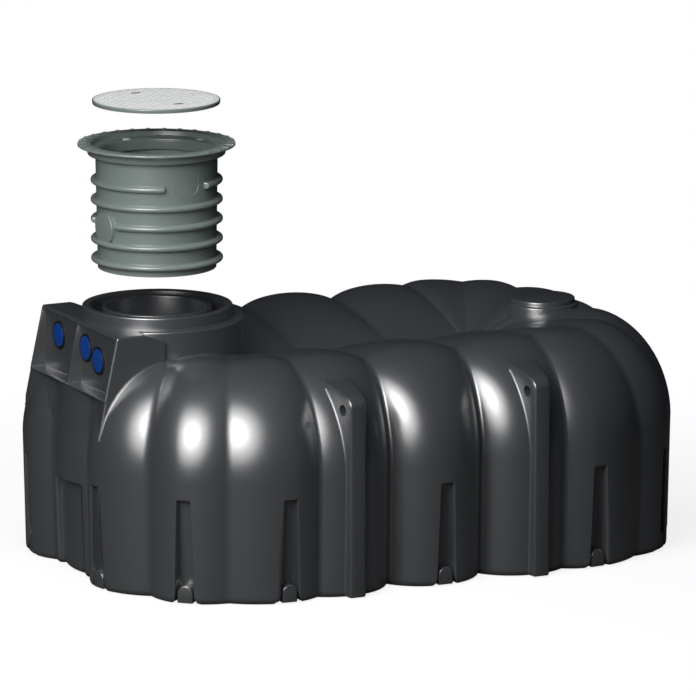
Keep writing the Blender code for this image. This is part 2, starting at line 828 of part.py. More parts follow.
def build_lugs():
    """Four upright lifting lugs, wider at the root, each with an eye, shaped to the lobes."""
    made = []
    places = []
    for end, end_name in ((-1, "left"), (1, "right")):
        for side, side_name in ((-1, "near"), (1, "far")):
            places.append((end, side, "lug_%s_%s" % (side_name, end_name)))
    for end, side, name in places:
        rings = []
        for across in (-1, 1):
            ring = []
            for y, z in lug_outline():
                half = LUG_WIDTH / 2 + LUG_FLARE * (LUG_FRONT_Y - y)
                ring.append((end * LUG_X + across * half, side * y, z))
            rings.append(ring)
        lug = loft(name, rings)
        eye_y = side * (LUG_FRONT_Y - LUG_EYE_FROM_FRONT)
        low = end * LUG_X - LUG_WIDTH
        high = end * LUG_X + LUG_WIDTH
        eye = bar_x("eye", LUG_EYE_RADIUS, low, high, eye_y, LUG_EYE_Z, LUG_EYE_SIDES)
        boolean(lug, eye, "DIFFERENCE")
        boolean(lug, whole_form("shell_form", -SEAT_GAP), "DIFFERENCE")
        made.append(lug)
    return made


def shaft_radius(height):
    """Outer radius of the tapered shaft at a height."""
    share = (height - SHAFT_BOTTOM) / (SHAFT_TOP - SHAFT_BOTTOM)
    return SHAFT_BOTTOM_RADIUS + (SHAFT_TOP_RADIUS - SHAFT_BOTTOM_RADIUS) * share


def rib_share(rib, azimuth):
    """0 where a rib is broken off at an azimuth in degrees, and 1 elsewhere."""
    for broken, low, high in RIB_BREAKS:
        if rib == broken and low < azimuth < high:
            return 0.0
    return 1.0


def build_tube():
    """The tapered tube with its ribs, which break off at the pads, and the pads on it."""
    columns = []
    top = SHAFT_TOP - GAP
    for step in range(SHAFT_STEPS):
        azimuth = 360.0 * step / SHAFT_STEPS
        profile = [(SHAFT_BOTTOM_RADIUS, SHAFT_BOTTOM)]
        for rib in reversed(range(len(RIB_LEVELS))):
            for rise, share in ((-0.5, 0.0), (-0.25, 1.0), (0.25, 1.0), (0.5, 0.0)):
                height = RIB_LEVELS[rib] + rise * RIB_HEIGHT
                bare = shaft_radius(height)
                lift = (RIB_RADIUS - bare) * share * rib_share(rib, azimuth)
                profile.append((bare + lift, height))
        profile.append((SHAFT_TOP_RADIUS, top))
        profile.append((SHAFT_TOP_RADIUS - SHAFT_WALL, top))
        profile.append((SHAFT_BOTTOM_RADIUS - SHAFT_WALL, SHAFT_BOTTOM))
        turn = radians(azimuth)
        columns.append([(NECK_X + r * cos(turn), r * sin(turn), z) for r, z in profile])
    down = len(columns[0])
    faces = []
    for i in range(SHAFT_STEPS):
        after = (i + 1) % SHAFT_STEPS
        for j in range(down):
            below = (j + 1) % down
            faces.append((i * down + j, after * down + j, after * down + below, i * down + below))
    tube = solid("shaft_tube", [point for column in columns for point in column], faces, split=True)
    for azimuth, height, radius, reach in SHAFT_PADS:
        turn = radians(azimuth)
        rings = []
        root = shaft_radius(height) * cos(asin(radius / RIB_RADIUS)) - SHAFT_WALL
        for distance in (root, reach):
            ring = []
            for step in range(PAD_STEPS):
                angle = 2 * pi * step / PAD_STEPS
                across = radius * cos(angle)
                x = NECK_X + distance * cos(turn) - across * sin(turn)
                y = distance * sin(turn) + across * cos(turn)
                ring.append((x, y, height + radius * sin(angle)))
            rings.append(ring)
        pad = loft("pad", rings)
        bore = drum("bore", SHAFT_BOTTOM_RADIUS - SHAFT_WALL / 2, SHAFT_BOTTOM, SHAFT_TOP, NECK_X, 0.0)
        boolean(pad, bore, "DIFFERENCE")
        boolean(tube, pad, "UNION")
    return tube


def build_shaft():
    """The ribbed tube and the frame on it."""
    tube = build_tube()
    ledge = FRAME_TOP - FRAME_LEDGE_DROP
    frame_profile = [
        (FRAME_OPENING_RADIUS, SHAFT_TOP),
        (FRAME_SKIRT_RADIUS, SHAFT_TOP),
        (FRAME_SKIRT_RADIUS, FRAME_TOP - FRAME_THICKNESS),
        (FRAME_RADIUS, FRAME_TOP - FRAME_THICKNESS),
        (FRAME_RADIUS, FRAME_TOP),
        (FRAME_RECESS_RADIUS, FRAME_TOP),
        (FRAME_RECESS_RADIUS, ledge),
        (FRAME_OPENING_RADIUS, ledge),
    ]
    frame = turned("shaft_frame", frame_profile, NECK_X, 0.0)
    return [tube, frame]


def build_cover():
    """The cover's plate and the rim round it."""
    rim_bore = COVER_RADIUS - COVER_RIM_WIDTH
    rim_profile = [
        (rim_bore, COVER_TOP - COVER_THICKNESS),
        (COVER_RADIUS, COVER_TOP - COVER_THICKNESS),
        (COVER_RADIUS, COVER_TOP - COVER_EDGE),
        (COVER_RADIUS - COVER_EDGE, COVER_TOP),
        (rim_bore, COVER_TOP),
    ]
    rim = turned("cover_rim", rim_profile, NECK_X, 0.0)
    low = COVER_TOP - COVER_PLATE_THICKNESS
    plate = drum("cover_plate", rim_bore - GAP, low, COVER_TOP - COVER_PLATE_DROP, NECK_X, 0.0)
    return rim, plate


def main():
    clear_scene()
    shell = build_shell()
    tank = list(shell.values()) + build_neck(shell) + [build_boss()] + build_lugs()
    for item in tank:
        finish(item, BLACK, 0.42)
    for item, colour in build_seals():
        finish(item, colour, 0.45)
        tank.append(item)
    shaft = build_shaft()
    for item in shaft:
        finish(item, SHAFT_GREY, 0.5)
    rim, plate = build_cover()
    finish(rim, SHAFT_GREY, 0.5)
    finish(plate, COVER_GREY, 0.55)
    for item in tank + shaft + [rim, plate]:
        shade(item)
    facets = 0
    for item in bpy.data.objects:
        item.data.calc_loop_triangles()
        facets += len(item.data.loop_triangles)
    print("objects", len(bpy.data.objects), "triangles", facets)


main()
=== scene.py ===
"""Looks of a flat underground water tank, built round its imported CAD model.

Metres, +Z up, in the frame of the CAD. The cells run from top to bottom.
"""

from contextlib import contextmanager
from math import acos, atan2, cos, pi, radians, sin, sqrt

import bpy
import bmesh
import numpy as np
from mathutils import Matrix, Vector


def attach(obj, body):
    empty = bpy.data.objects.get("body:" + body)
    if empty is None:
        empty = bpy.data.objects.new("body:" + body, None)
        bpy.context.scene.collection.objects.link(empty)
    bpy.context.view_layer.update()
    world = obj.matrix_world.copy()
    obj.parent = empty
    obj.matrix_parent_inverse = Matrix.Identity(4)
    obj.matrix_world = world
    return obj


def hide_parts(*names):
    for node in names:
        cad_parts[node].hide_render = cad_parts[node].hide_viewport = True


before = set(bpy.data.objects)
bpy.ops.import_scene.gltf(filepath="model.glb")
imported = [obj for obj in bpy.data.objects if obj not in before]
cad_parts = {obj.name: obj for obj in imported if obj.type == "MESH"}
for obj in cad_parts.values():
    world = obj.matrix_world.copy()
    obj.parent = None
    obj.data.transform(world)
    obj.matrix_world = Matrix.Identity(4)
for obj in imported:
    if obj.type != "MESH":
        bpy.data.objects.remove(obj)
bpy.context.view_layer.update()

# %% [markdown]
# The shell is one hollow moulding, so its skin is one piece here, where the CAD has walls,
# roofs and a floor pan. It follows the CAD's own section with many more facets, so that the
# lobes shade as smooth plastic.

# %% Sizes of the shell, as in the CAD
HALF_LENGTH = 1.712
HALF_WIDTH = 1.205
CORNER_RADIUS = 0.88
BELT_HEIGHT = 0.655
SIDE_ROOF_HEIGHT = 1.22
END_ROOF_HEIGHT = 1.205
RIDGE_SHARE = 0.61
CENTRE_HEIGHT = 1.03
VAULT_POWER = 1.9
WALL_DRAFT = 0.012
BOX_HALF_LENGTH = 1.7035
FOOT_RADIUS = 0.035
WALL = 0.012
PIT_X = 0.72
LUG_X = 0.54
MIDDLE_BAY_EDGE = 0.27
LOBE_HALF_WIDTH = 0.27
ARC_SHARE = 0.88
LOBE_DEPTH = 0.16
LOBE_TOP_DEPTH = 0.06
PIT_DROP = 0.03
VALLEY_ARC = (PIT_X - LUG_X) / LOBE_HALF_WIDTH * ARC_SHARE
VALLEY_SHARE = (1 - sqrt(1 - VALLEY_ARC ** 2)) / (1 - sqrt(1 - ARC_SHARE ** 2))
GORE_EDGES = [
    (0.0, LOBE_DEPTH * VALLEY_SHARE, LOBE_TOP_DEPTH * VALLEY_SHARE),
    (9.0, 0.0, 0.0),
    (24.6, 0.046, 0.015),
    (36.0, 0.0, 0.0),
    (47.2, 0.080, 0.025),
    (65.5, 0.0, 0.0),
    (75.5, 0.085, 0.030),
    (90.0, 0.020, 0.0),
]
METRES_PER_DEGREE = 0.02
QUARTER = PIT_X + 90 * METRES_PER_DEGREE

# %% [markdown]
# The roof is a ring vault, cut into lobes by valleys. Lobes shaped one by one would differ, so
# one function gives the section at any distance round a quarter of the tank. The other three
# quarters mirror it.

# %% Sections of the vault
def corner_reach(angle):
    """Distance from a pit to the plan outline, at angles from the side direction."""
    arc_x = HALF_LENGTH - CORNER_RADIUS - PIT_X
    arc_y = HALF_WIDTH - CORNER_RADIUS
    along = arc_x * np.sin(angle) + arc_y * np.cos(angle)
    rounded = along + np.sqrt(along ** 2 - arc_x ** 2 - arc_y ** 2 + CORNER_RADIUS ** 2)
    on_side = np.tan(np.minimum(angle, 1.5)) * HALF_WIDTH <= arc_x
    on_end = np.cos(angle) * (HALF_LENGTH - PIT_X) <= arc_y * np.sin(angle)
    reach = np.where(on_side, HALF_WIDTH / np.maximum(np.cos(angle), 1e-3), rounded)
    return np.where(on_end, (HALF_LENGTH - PIT_X) / np.maximum(np.sin(angle), 1e-3), reach)


def lobe_share(offset):
    """Depth of a bay's lobe at an offset from its crest: an arc in plan, 1 at its valley."""
    turn = np.arcsin(np.clip(offset / LOBE_HALF_WIDTH, -1, 1) * ARC_SHARE)
    return (1 - np.cos(turn)) / (1 - np.cos(np.arcsin(ARC_SHARE)))


def gore_depths(angle):
    """Depth at the belt and at the ridge between the gores' crests and creases."""
    side = np.zeros_like(angle)
    top = np.zeros_like(angle)
    for first, second in zip(GORE_EDGES, GORE_EDGES[1:]):
        here = (angle >= first[0]) & (angle <= second[0])
        crest, crease = (first, second) if first[1] < second[1] else (second, first)
        share = np.clip((angle - crest[0]) / (crease[0] - crest[0]), 0, 1) ** 2
        side = np.where(here, crest[1] + (crease[1] - crest[1]) * share, side)
        top = np.where(here, crest[2] + (crease[2] - crest[2]) * share, top)
    return side, top


def section(along):
    """What the vault's section needs, at distances round a quarter of the shell."""
    in_bay = along <= PIT_X
    degrees_round = np.clip((along - PIT_X) / METRES_PER_DEGREE, 0, 90)
    turn = np.radians(degrees_round)
    crest = np.where(along < MIDDLE_BAY_EDGE, 0.0, LUG_X)
    share = lobe_share(along - crest)
    gore_side, gore_top = gore_depths(degrees_round)
    blend = np.sin(turn) ** 2
    return {
        "x": np.where(in_bay, along, PIT_X),
        "out_x": np.where(in_bay, 0.0, np.sin(turn)),
        "out_y": np.where(in_bay, -1.0, -np.cos(turn)),
        "reach": np.where(in_bay, HALF_WIDTH, corner_reach(turn)),
        "side": np.where(in_bay, LOBE_DEPTH * share, gore_side),
        "top": np.where(in_bay, LOBE_TOP_DEPTH * share, gore_top),
        "roof": SIDE_ROOF_HEIGHT + (END_ROOF_HEIGHT - SIDE_ROOF_HEIGHT) * blend,
        "centre": CENTRE_HEIGHT - PIT_DROP * np.where(in_bay, (along / PIT_X) ** 2, 1.0),
    }


def plan_points(here, reach):
    """Points in plan at a reach along the direction out of each section."""
    return np.stack([here["x"] + here["out_x"] * reach, here["out_y"] * reach], axis=-1)


# %% [markdown]
# The lower wall has upright slots that widen to the foot, and a recessed panel in the
# middle lobe of each end. Their columns of faces follow their edges, so the edges stay
# crisp and slightly rounded, as the mould leaves them.

# %% Slots
SLOT_TOP = 0.555
SLOT_HALF_TOP = 0.034
SLOT_HALF_FOOT = 0.050
SLOT_DEPTH = 0.042
SLOT_DEPTH_FOOT = 0.080
SLOT_CORNER = 0.055
SLOT_CORNER_WIDTH = 0.030
SLOT_STEP_HEIGHT = 0.10
SLOT_STEP_DEPTH = 0.014
SLOT_EDGE = 0.005
PANEL_TOP = 0.50
PANEL_HALF_WIDTH = 0.165
PANEL_DEPTH = 0.045
SLOT_SPREAD = 0.12
SLOT_SEARCH = 0.25
COLUMN_GAP = 0.0012
SMALL_STEP = 1e-3
SLOT_PLACES = [
    (0.0, "slot"),
    (PIT_X + 9.0 * METRES_PER_DEGREE, "slot"),
    (PIT_X + 36.0 * METRES_PER_DEGREE, "slot"),
    (PIT_X + 65.5 * METRES_PER_DEGREE, "slot"),
    (QUARTER, "panel"),
]


def slot_half_width(kind, height):
    if kind == "panel":
        return np.full_like(height, PANEL_HALF_WIDTH)
    half = SLOT_HALF_TOP + (SLOT_HALF_FOOT - SLOT_HALF_TOP) * np.clip(1 - height / SLOT_TOP, 0, 1)
    low = np.clip(1 - height / SLOT_CORNER, 0, 1)
    return half + SLOT_CORNER_WIDTH * (1 - np.sqrt(1 - low ** 2))


def wall_place(place):
    """A slot's or panel's middle on the wall, the direction out and the one along."""
    if place == 0.0:
        return np.array([0.0, -HALF_WIDTH]), np.array([0.0, -1.0]), np.array([1.0, 0.0])
    if place == QUARTER:
        end_x = HALF_LENGTH - GORE_EDGES[-1][1]
        return np.array([end_x, 0.0]), np.array([1.0, 0.0]), np.array([0.0, 1.0])
    here = section(np.array([place - SMALL_STEP, place, place + SMALL_STEP]))
    bare = plan_points(here, here["reach"])
    tangent = (bare[2] - bare[0]) / np.linalg.norm(bare[2] - bare[0])
    middle = plan_points(here, here["reach"] - here["side"])[1]
    return middle, np.array([tangent[1], -tangent[0]]), tangent


def smooth_edge(value, edge):
    """0 below -edge, 1 above edge, and a smooth turn between."""
    t = np.clip((value + edge) / (2 * edge), 0, 1)
    return t * t * (3 - 2 * t)


def cut_slots(points, margin):
    """Push the wall's points in where the slots and the end panel are, wider by a margin."""
    for place, kind in SLOT_PLACES:
        centre, outward, tangent = wall_place(place)
        offset = points[..., :2] - centre
        across = np.abs(offset @ tangent)
        height = points[..., 2]
        half = slot_half_width(kind, height) + margin
        depth = np.full_like(height, PANEL_DEPTH)
        top = PANEL_TOP + margin
        if kind == "slot":
            top = SLOT_TOP + margin
            depth = SLOT_DEPTH + (SLOT_DEPTH_FOOT - SLOT_DEPTH) * np.clip(1 - height / SLOT_TOP, 0, 1)
        inside = smooth_edge(half - across, SLOT_EDGE) * smooth_edge(top - height, SLOT_EDGE)
        inside = np.where(np.abs(offset @ outward) < SLOT_SEARCH, inside, 0.0)
        points[..., :2] -= outward * (depth * inside)[..., None]
    return points


# %% [markdown]
# The skin is a grid. A slot's edge needs a column of faces on it, or it comes out jagged, so
# columns crowd at the edges and are spread apart towards the foot, where slots are wider.

# %% Columns and rows of the skin
def even(low, high, count):
    return list(np.linspace(low, high, count + 1)[:-1])


def spaced(values, gap):
    """Values in order, without those that follow another within a gap."""
    values = sorted(values)
    kept = [values[0]]
    for value in values[1:]:
        if value - kept[-1] > gap:
            kept.append(value)
    return kept


def skin_columns():
    """Distances round a quarter, closer together at the slots' edges."""
    columns = even(0.0, MIDDLE_BAY_EDGE, 16) + even(MIDDLE_BAY_EDGE, PIT_X, 26)
    for first, second in zip(GORE_EDGES, GORE_EDGES[1:]):
        low = PIT_X + first[0] * METRES_PER_DEGREE
        high = PIT_X + second[0] * METRES_PER_DEGREE
        columns += even(low, high, 10)
    columns.append(QUARTER)
    for place, kind in SLOT_PLACES:
        half = PANEL_HALF_WIDTH if kind == "panel" else SLOT_HALF_TOP
        if kind == "slot":
            columns += [place + share * half * arc_scale(place) for share in (-0.7, -0.4, 0, 0.4, 0.7)]
        for sign in (-1, 1):
            for shift in (-1.5, -1.0, -0.5, 0.0, 0.5, 1.0, 1.5):
                edge = place + sign * (half + shift * SLOT_EDGE) * arc_scale(place)
                if 0 < edge < QUARTER:
                    columns.append(edge)
    kept = spaced([value for value in columns if 0 <= value <= QUARTER], COLUMN_GAP)
    kept[-1] = QUARTER
    return np.array(kept)


def arc_scale(place):
    """Distance round for one metre along the outline, at a place."""
    if place <= PIT_X:
        return 1.0
    high = min(place + SMALL_STEP, QUARTER)
    here = section(np.array([place - SMALL_STEP, high]))
    first, second = plan_points(here, here["reach"])
    return (high - place + SMALL_STEP) / np.linalg.norm(second - first)


def widen_to_foot(along, heights):
    """Distance round of every grid point, spread so that columns keep to the slots' edges."""
    grid = np.repeat(along[:, None], len(heights), axis=1)
    for place, kind in SLOT_PLACES:
        if kind == "panel":
            continue
        half = slot_half_width(kind, heights)
        scale = arc_scale(place)
        offset = (along[:, None] - place) / scale
        inner = np.abs(offset) / SLOT_HALF_TOP * half
        fade = (np.abs(offset) - SLOT_HALF_TOP) / (SLOT_SPREAD - SLOT_HALF_TOP)
        outer = np.abs(offset) + (half - SLOT_HALF_TOP) * (1 - np.clip(fade, 0, 1))
        moved = np.where(np.abs(offset) <= SLOT_HALF_TOP, inner, outer)
        near = np.abs(offset) < SLOT_SPREAD
        grid = np.where(near, place + np.sign(offset) * moved * scale, grid)
    return np.clip(grid, 0.0, QUARTER)


INNER_SHARES = np.linspace(1.0, 0.0, 19)[:-1]
OUTER_TURNS = np.radians(np.concatenate([np.linspace(0, 20, 12), np.linspace(22, 90, 26)]))
WALL_HEIGHTS = np.array([
    0.640, 0.615, 0.590, 0.575, 0.566, 0.561, 0.558, 0.555, 0.552, 0.549, 0.540, 0.526, 0.512,
    0.506, 0.503, 0.500, 0.497, 0.494, 0.485, 0.46, 0.42, 0.38, 0.33, 0.28, 0.23, 0.18, 0.14,
    0.120, 0.108, 0.104, 0.100, 0.096, 0.092, 0.086, 0.080, 0.074, 0.068, 0.062, 0.056, 0.050,
    0.042,
])
FOOT_TURNS = np.linspace(0, pi / 2, 9)


def skin_quarter(along, inset=0.0):
    """Grid of points over a quarter of the shell, from the central valley to the underside."""
    power = 2 / VAULT_POWER
    here = {name: value[:, None] for name, value in section(along).items()}
    ridge = RIDGE_SHARE * here["reach"]
    crest = here["roof"] - here["top"] - inset
    centre = here["centre"] - inset
    shares = INNER_SHARES[None, :]
    reach_in = ridge * (1 - shares)
    height_in = crest - (crest - centre) * shares ** VAULT_POWER
    turns = OUTER_TURNS[None, :]
    outward = here["reach"] - ridge - here["side"] - inset
    reach_out = ridge + np.sin(turns) ** power * outward
    height_out = BELT_HEIGHT + (crest - BELT_HEIGHT) * np.maximum(np.cos(turns), 0) ** power
    foot_heights = FOOT_RADIUS - (FOOT_RADIUS - inset) * np.sin(FOOT_TURNS)
    heights = np.concatenate([WALL_HEIGHTS, foot_heights])
    grid = widen_to_foot(along, heights)
    low = section(grid)
    drop = (BELT_HEIGHT - np.maximum(heights, FOOT_RADIUS)) / (BELT_HEIGHT - FOOT_RADIUS)
    rounding = np.concatenate([np.zeros(len(WALL_HEIGHTS)), 1 - np.cos(FOOT_TURNS)])
    reach_low = low["reach"] - low["side"] - inset - WALL_DRAFT * drop - (FOOT_RADIUS - inset) * rounding

    def spread(reach, height, frame_of):
        x = frame_of["x"] + frame_of["out_x"] * reach
        y = frame_of["out_y"] * reach
        return np.stack(np.broadcast_arrays(x, y, height), axis=-1)

    upper = np.concatenate([spread(reach_in, height_in, here), spread(reach_out, height_out, here)], axis=1)
    lower = cut_slots(spread(reach_low, heights[None, :], low), inset)
    return np.concatenate([upper, lower], axis=1)


# %% [markdown]
# A mesh is a list of points and a list of faces that name them. Shapes here are a grid, rings
# that follow each other, or two outlines joined, and each has a function for its faces.

# %% Turn points into a mesh
@contextmanager
def editing(item):
    """Open an object's mesh as a bmesh, and write it back afterwards."""
    bm = bmesh.new()
    bm.from_mesh(item.data)
    yield bm
    bm.to_mesh(item.data)
    bm.free()


def new_object(name, data):
    """A new object in the scene."""
    item = bpy.data.objects.new(name, data)
    bpy.context.collection.objects.link(item)
    return item


def mesh_object(name, points, faces, smooth=True):
    mesh = bpy.data.meshes.new(name)
    mesh.from_pydata([tuple(map(float, p)) for p in points], [], faces)
    item = new_object(name, mesh)
    with editing(item) as bm:
        bmesh.ops.remove_doubles(bm, verts=bm.verts, dist=2e-5)
        bmesh.ops.dissolve_degenerate(bm, dist=1e-6, edges=bm.edges)
    if smooth:
        mesh.shade_smooth()
    return item


def face_out(item):
    with editing(item) as bm:
        bmesh.ops.recalc_face_normals(bm, faces=bm.faces)


def grid_faces(across, down, start=0, flip=False):
    faces = []
    for i in range(across - 1):
        for j in range(down - 1):
            low = start + i * down + j
            face = (low, low + 1, low + down + 1, low + down)
            faces.append(face[::-1] if flip else face)
    return faces


def ring_faces(rings, around, closed=False):
    """Faces between rings of points, and from the last ring to the first if closed."""
    faces = []
    for level in range(rings if closed else rings - 1):
        low = level * around
        high = (level + 1) % rings * around
        for step in range(around):
            after = (step + 1) % around
            faces.append((low + step, low + after, high + after, high + step))
    return faces


def prism(name, first_end, second_end):
    """A closed solid between two outlines with as many points."""
    count = len(first_end)
    faces = [tuple(range(count)), tuple(range(2 * count - 1, count - 1, -1))]
    item = mesh_object(name, first_end + second_end, faces + ring_faces(2, count), smooth=False)
    face_out(item)
    return item


def four_quarters(name, quarter, flip=False):
    """Mirror a quarter's grid about both middles, close its floor and weld it."""
    across, down = quarter.shape[:2]
    points = []
    faces = []
    for sign_x, sign_y in ((1, 1), (-1, 1), (1, -1), (-1, -1)):
        start = len(points)
        turned_over = (sign_x * sign_y < 0) != flip
        points += list(quarter.reshape(-1, 3) * np.array([sign_x, sign_y, 1]))
        faces += grid_faces(across, down, start, turned_over)
        rim = [start + i * down + down - 1 for i in range(across)]
        middle = len(points)
        points.append(np.array([0.0, 0.0, quarter[0, -1, 2]]))
        for face in zip(rim, [middle] * across, rim[1:]):
            faces.append(face[::-1] if turned_over else face)
    return mesh_object(name, points, faces)


tank_columns = skin_columns()
quarter = skin_quarter(tank_columns)
quarter[..., 0] = np.minimum(quarter[..., 0], BOX_HALF_LENGTH)
tank_skin = four_quarters("tank_skin", quarter)
print("tank skin:", len(tank_skin.data.polygons), "faces, columns", len(tank_columns))

# %% [markdown]
# The moulding is hollow. A plain lining inside gives the wall its thickness where the neck
# lets one look in, and both are cut open under the neck. The skin also ends where the
# inlet block grows out of it, so that nothing stands in the block's recesses.

# %% Lining, and the openings
NECK_X = -1.1265
MANWAY_RADIUS = 0.265
BLOCK_NEAR_Y = -0.475
BLOCK_FAR_Y = 0.515
BLOCK_BACK_X = -1.300
BLOCK_SILL_Z = 1.010
OPENING_RADIUS = MANWAY_RADIUS + 0.05
OPENING_LOWEST = 0.7
OVERLAP = 0.01
lining = four_quarters("tank_lining", skin_quarter(tank_columns, WALL), flip=True)


def open_for_neck(item):
    """Take the faces away that lie under the neck or inside the inlet block."""
    gone = []
    with editing(item) as bm:
        for face in bm.faces:
            x, y, z = face.calc_center_median()
            under_neck = (x - NECK_X) ** 2 + y ** 2 < OPENING_RADIUS ** 2
            across_block = BLOCK_NEAR_Y + OVERLAP < y < BLOCK_FAR_Y - OVERLAP
            in_block = x < BLOCK_BACK_X and across_block and z > BLOCK_SILL_Z - OVERLAP
            if z > OPENING_LOWEST and (under_neck or in_block):
                gone.append(face)
        bmesh.ops.delete(bm, geom=gone, context="FACES")


open_for_neck(tank_skin)
open_for_neck(lining)
print("lining:", len(lining.data.polygons), "faces")

# %% [markdown]
# Materials are named for what the parts are made of and how. Colours are written as sRGB
# and turned to linear by one function.

# %% Materials
def srgb(text):
    """Linear RGBA from an sRGB hex colour."""
    values = [int(text[i:i + 2], 16) / 255 for i in (1, 3, 5)]
    linear = [v / 12.92 if v <= 0.04045 else ((v + 0.055) / 1.055) ** 2.4 for v in values]
    return (*linear, 1.0)


def add_node(tree, kind, inputs=None, **settings):
    """Add a node, set its properties, and set or link its inputs."""
    node = tree.nodes.new(kind)
    for name, value in settings.items():
        setattr(node, name, value)
    for name, value in (inputs or {}).items():
        if isinstance(value, bpy.types.NodeSocket):
            tree.links.new(value, node.inputs[name])
        else:
            node.inputs[name].default_value = value
    return node


def worked_out(tree, operation, *values):
    """The result of a math node on one or two values."""
    return add_node(tree, "ShaderNodeMath", dict(enumerate(values)), operation=operation).outputs[0]


def mixed_colour(tree, share, first, second):
    """The first colour where the share is 0, the second where it is 1."""
    return add_node(tree, "ShaderNodeMix", {0: share, 6: first, 7: second}, data_type="RGBA").outputs[2]


def plastic(name, colour, roughness, specular, grain_scale, grain_height, coat=0.0):
    """A moulded plastic: even colour, with the mould's fine grain as a bump."""
    material = bpy.data.materials.new(name)
    material.use_nodes = True
    tree = material.node_tree
    shader = tree.nodes["Principled BSDF"]
    shader.inputs["Base Color"].default_value = srgb(colour)
    shader.inputs["Roughness"].default_value = roughness
    shader.inputs["Specular IOR Level"].default_value = specular
    shader.inputs["Coat Weight"].default_value = coat
    shader.inputs["Coat Roughness"].default_value = roughness
    place = add_node(tree, "ShaderNodeTexCoord")
    grain = add_node(tree, "ShaderNodeTexNoise", {
        "Vector": place.outputs["Object"], "Scale": grain_scale, "Detail": 3.0,
    })
    bump = add_node(tree, "ShaderNodeBump", {
        "Height": grain.outputs["Fac"], "Strength": 0.25, "Distance": grain_height,
    })
    tree.links.new(bump.outputs["Normal"], shader.inputs["Normal"])
    return material


black = plastic("rotomoulded_polyethylene_black", "#36383a", 0.28, 1.0, 260.0, 0.0004, 1.0)
black.node_tree.nodes["Principled BSDF"].inputs["IOR"].default_value = 1.6
grey_green = plastic("injection_moulded_pp_grey_green", "#6d7773", 0.30, 1.0, 300.0, 0.0003, 0.6)
cover_grey = plastic("injection_moulded_pp_pale_grey", "#bcbdbc", 0.5, 0.4, 300.0, 0.0003)
blue = plastic("injection_moulded_pp_blue", "#08357a", 0.45, 0.3, 300.0, 0.0002)
rubber = plastic("moulded_epdm_rubber", "#0e0e0f", 0.6, 0.3, 400.0, 0.0003)


def paint(item, material):
    item.data.materials.clear()
    item.data.materials.append(material)


# %% [markdown]
# Round parts are turned profiles. A real edge always has a small rounding that catches the
# light, so each corner names its own, and short extra steps follow it.

# %% Turned parts
CORNER_STEPS = 3
NEAR_AXIS = 0.0005


def disc_profile(radius, back, front, rounding=0.0):
    """Corners of a solid disc between two heights, with its front edge rounded."""
    return [(NEAR_AXIS, back, 0.0), (radius, back, 0.0), (radius, front, rounding), (NEAR_AXIS, front, 0.0)]


def rounded_profile(corners):
    """Round the corners of a closed profile of (radius, height, rounding)."""
    points = []
    count = len(corners)
    for index in range(count):
        before, here, after = (Vector(corners[(index + k) % count][:2]) for k in (-1, 0, 1))
        reach = min(corners[index][2], (before - here).length * 0.48, (after - here).length * 0.48)
        if reach < 1e-5:
            points.append(tuple(here))
            continue
        start = here + (before - here).normalized() * reach
        end = here + (after - here).normalized() * reach
        for step in range(CORNER_STEPS + 1):
            t = step / CORNER_STEPS
            points.append(tuple(start * (1 - t) ** 2 + here * 2 * t * (1 - t) + end * t * t))
    return points


def soften(item, angle=35.0):
    """Smooth shading that keeps edges sharper than an angle."""
    item.data.shade_smooth()
    item.data.set_sharp_from_angle(angle=radians(angle))


def turned(name, corners, x, steps):
    """Turn a rounded profile about an upright axis at x, with its faces out."""
    points = []
    profile = rounded_profile(corners)
    for radius, height in profile:
        for step in range(steps):
            angle = 2 * pi * step / steps
            points.append((x + radius * cos(angle), radius * sin(angle), height))
    item = mesh_object(name, points, ring_faces(len(profile), steps, closed=True))
    face_out(item)
    soften(item)
    return item


def turned_level(name, corners, base, azimuth, steps=64):
    """A profile of (radius, distance out) turned about a level axis at an azimuth."""
    item = turned(name, corners, 0.0, steps)
    turn = radians(azimuth)
    for vertex in item.data.vertices:
        up, side, out = vertex.co
        vertex.co = (
            base[0] + out * cos(turn) + side * sin(turn),
            base[1] + out * sin(turn) - side * cos(turn),
            base[2] + up,
        )
    face_out(item)
    soften(item)
    return item


def bevelled(item, width, segments, angle):
    """Round the edges sharper than an angle, and apply it."""
    modifier = item.modifiers.new("edge", "BEVEL")
    modifier.width = width
    modifier.segments = segments
    modifier.limit_method = "ANGLE"
    modifier.angle_limit = radians(angle)
    bake(item)
    soften(item, 40.0)


def bake(item):
    """Apply an object's modifiers to a plain mesh."""
    graph = bpy.context.evaluated_depsgraph_get()
    mesh = bpy.data.meshes.new_from_object(item.evaluated_get(graph))
    item.modifiers.clear()
    item.data = mesh


def join(name, items):
    """One object from several."""
    bm = bmesh.new()
    for item in items:
        bm.from_mesh(item.data)
    mesh = bpy.data.meshes.new(name)
    bm.to_mesh(mesh)
    bm.free()
    for item in items:
        bpy.data.objects.remove(item, do_unlink=True)
    whole = new_object(name, mesh)
    mesh.shade_smooth()
    return whole


# %% [markdown]
# The cover's tread and the frame's marks repeat one small shape many times. Geometry Nodes
# place such copies from a few numbers, so these helpers start, end and run a node tree.

# %% Helpers for patterns
def pattern_tree(name, inputs):
    """An empty node tree with named number inputs and a geometry output."""
    tree = bpy.data.node_groups.new(name, "GeometryNodeTree")
    tree.interface.new_socket("Geometry", in_out="INPUT", socket_type="NodeSocketGeometry")
    for label, value in inputs.items():
        kind = "NodeSocketInt" if isinstance(value, int) else "NodeSocketFloat"
        socket = tree.interface.new_socket(label, in_out="INPUT", socket_type=kind)
        socket.default_value = value
    tree.interface.new_socket("Geometry", in_out="OUTPUT", socket_type="NodeSocketGeometry")
    return tree, add_node(tree, "NodeGroupInput").outputs


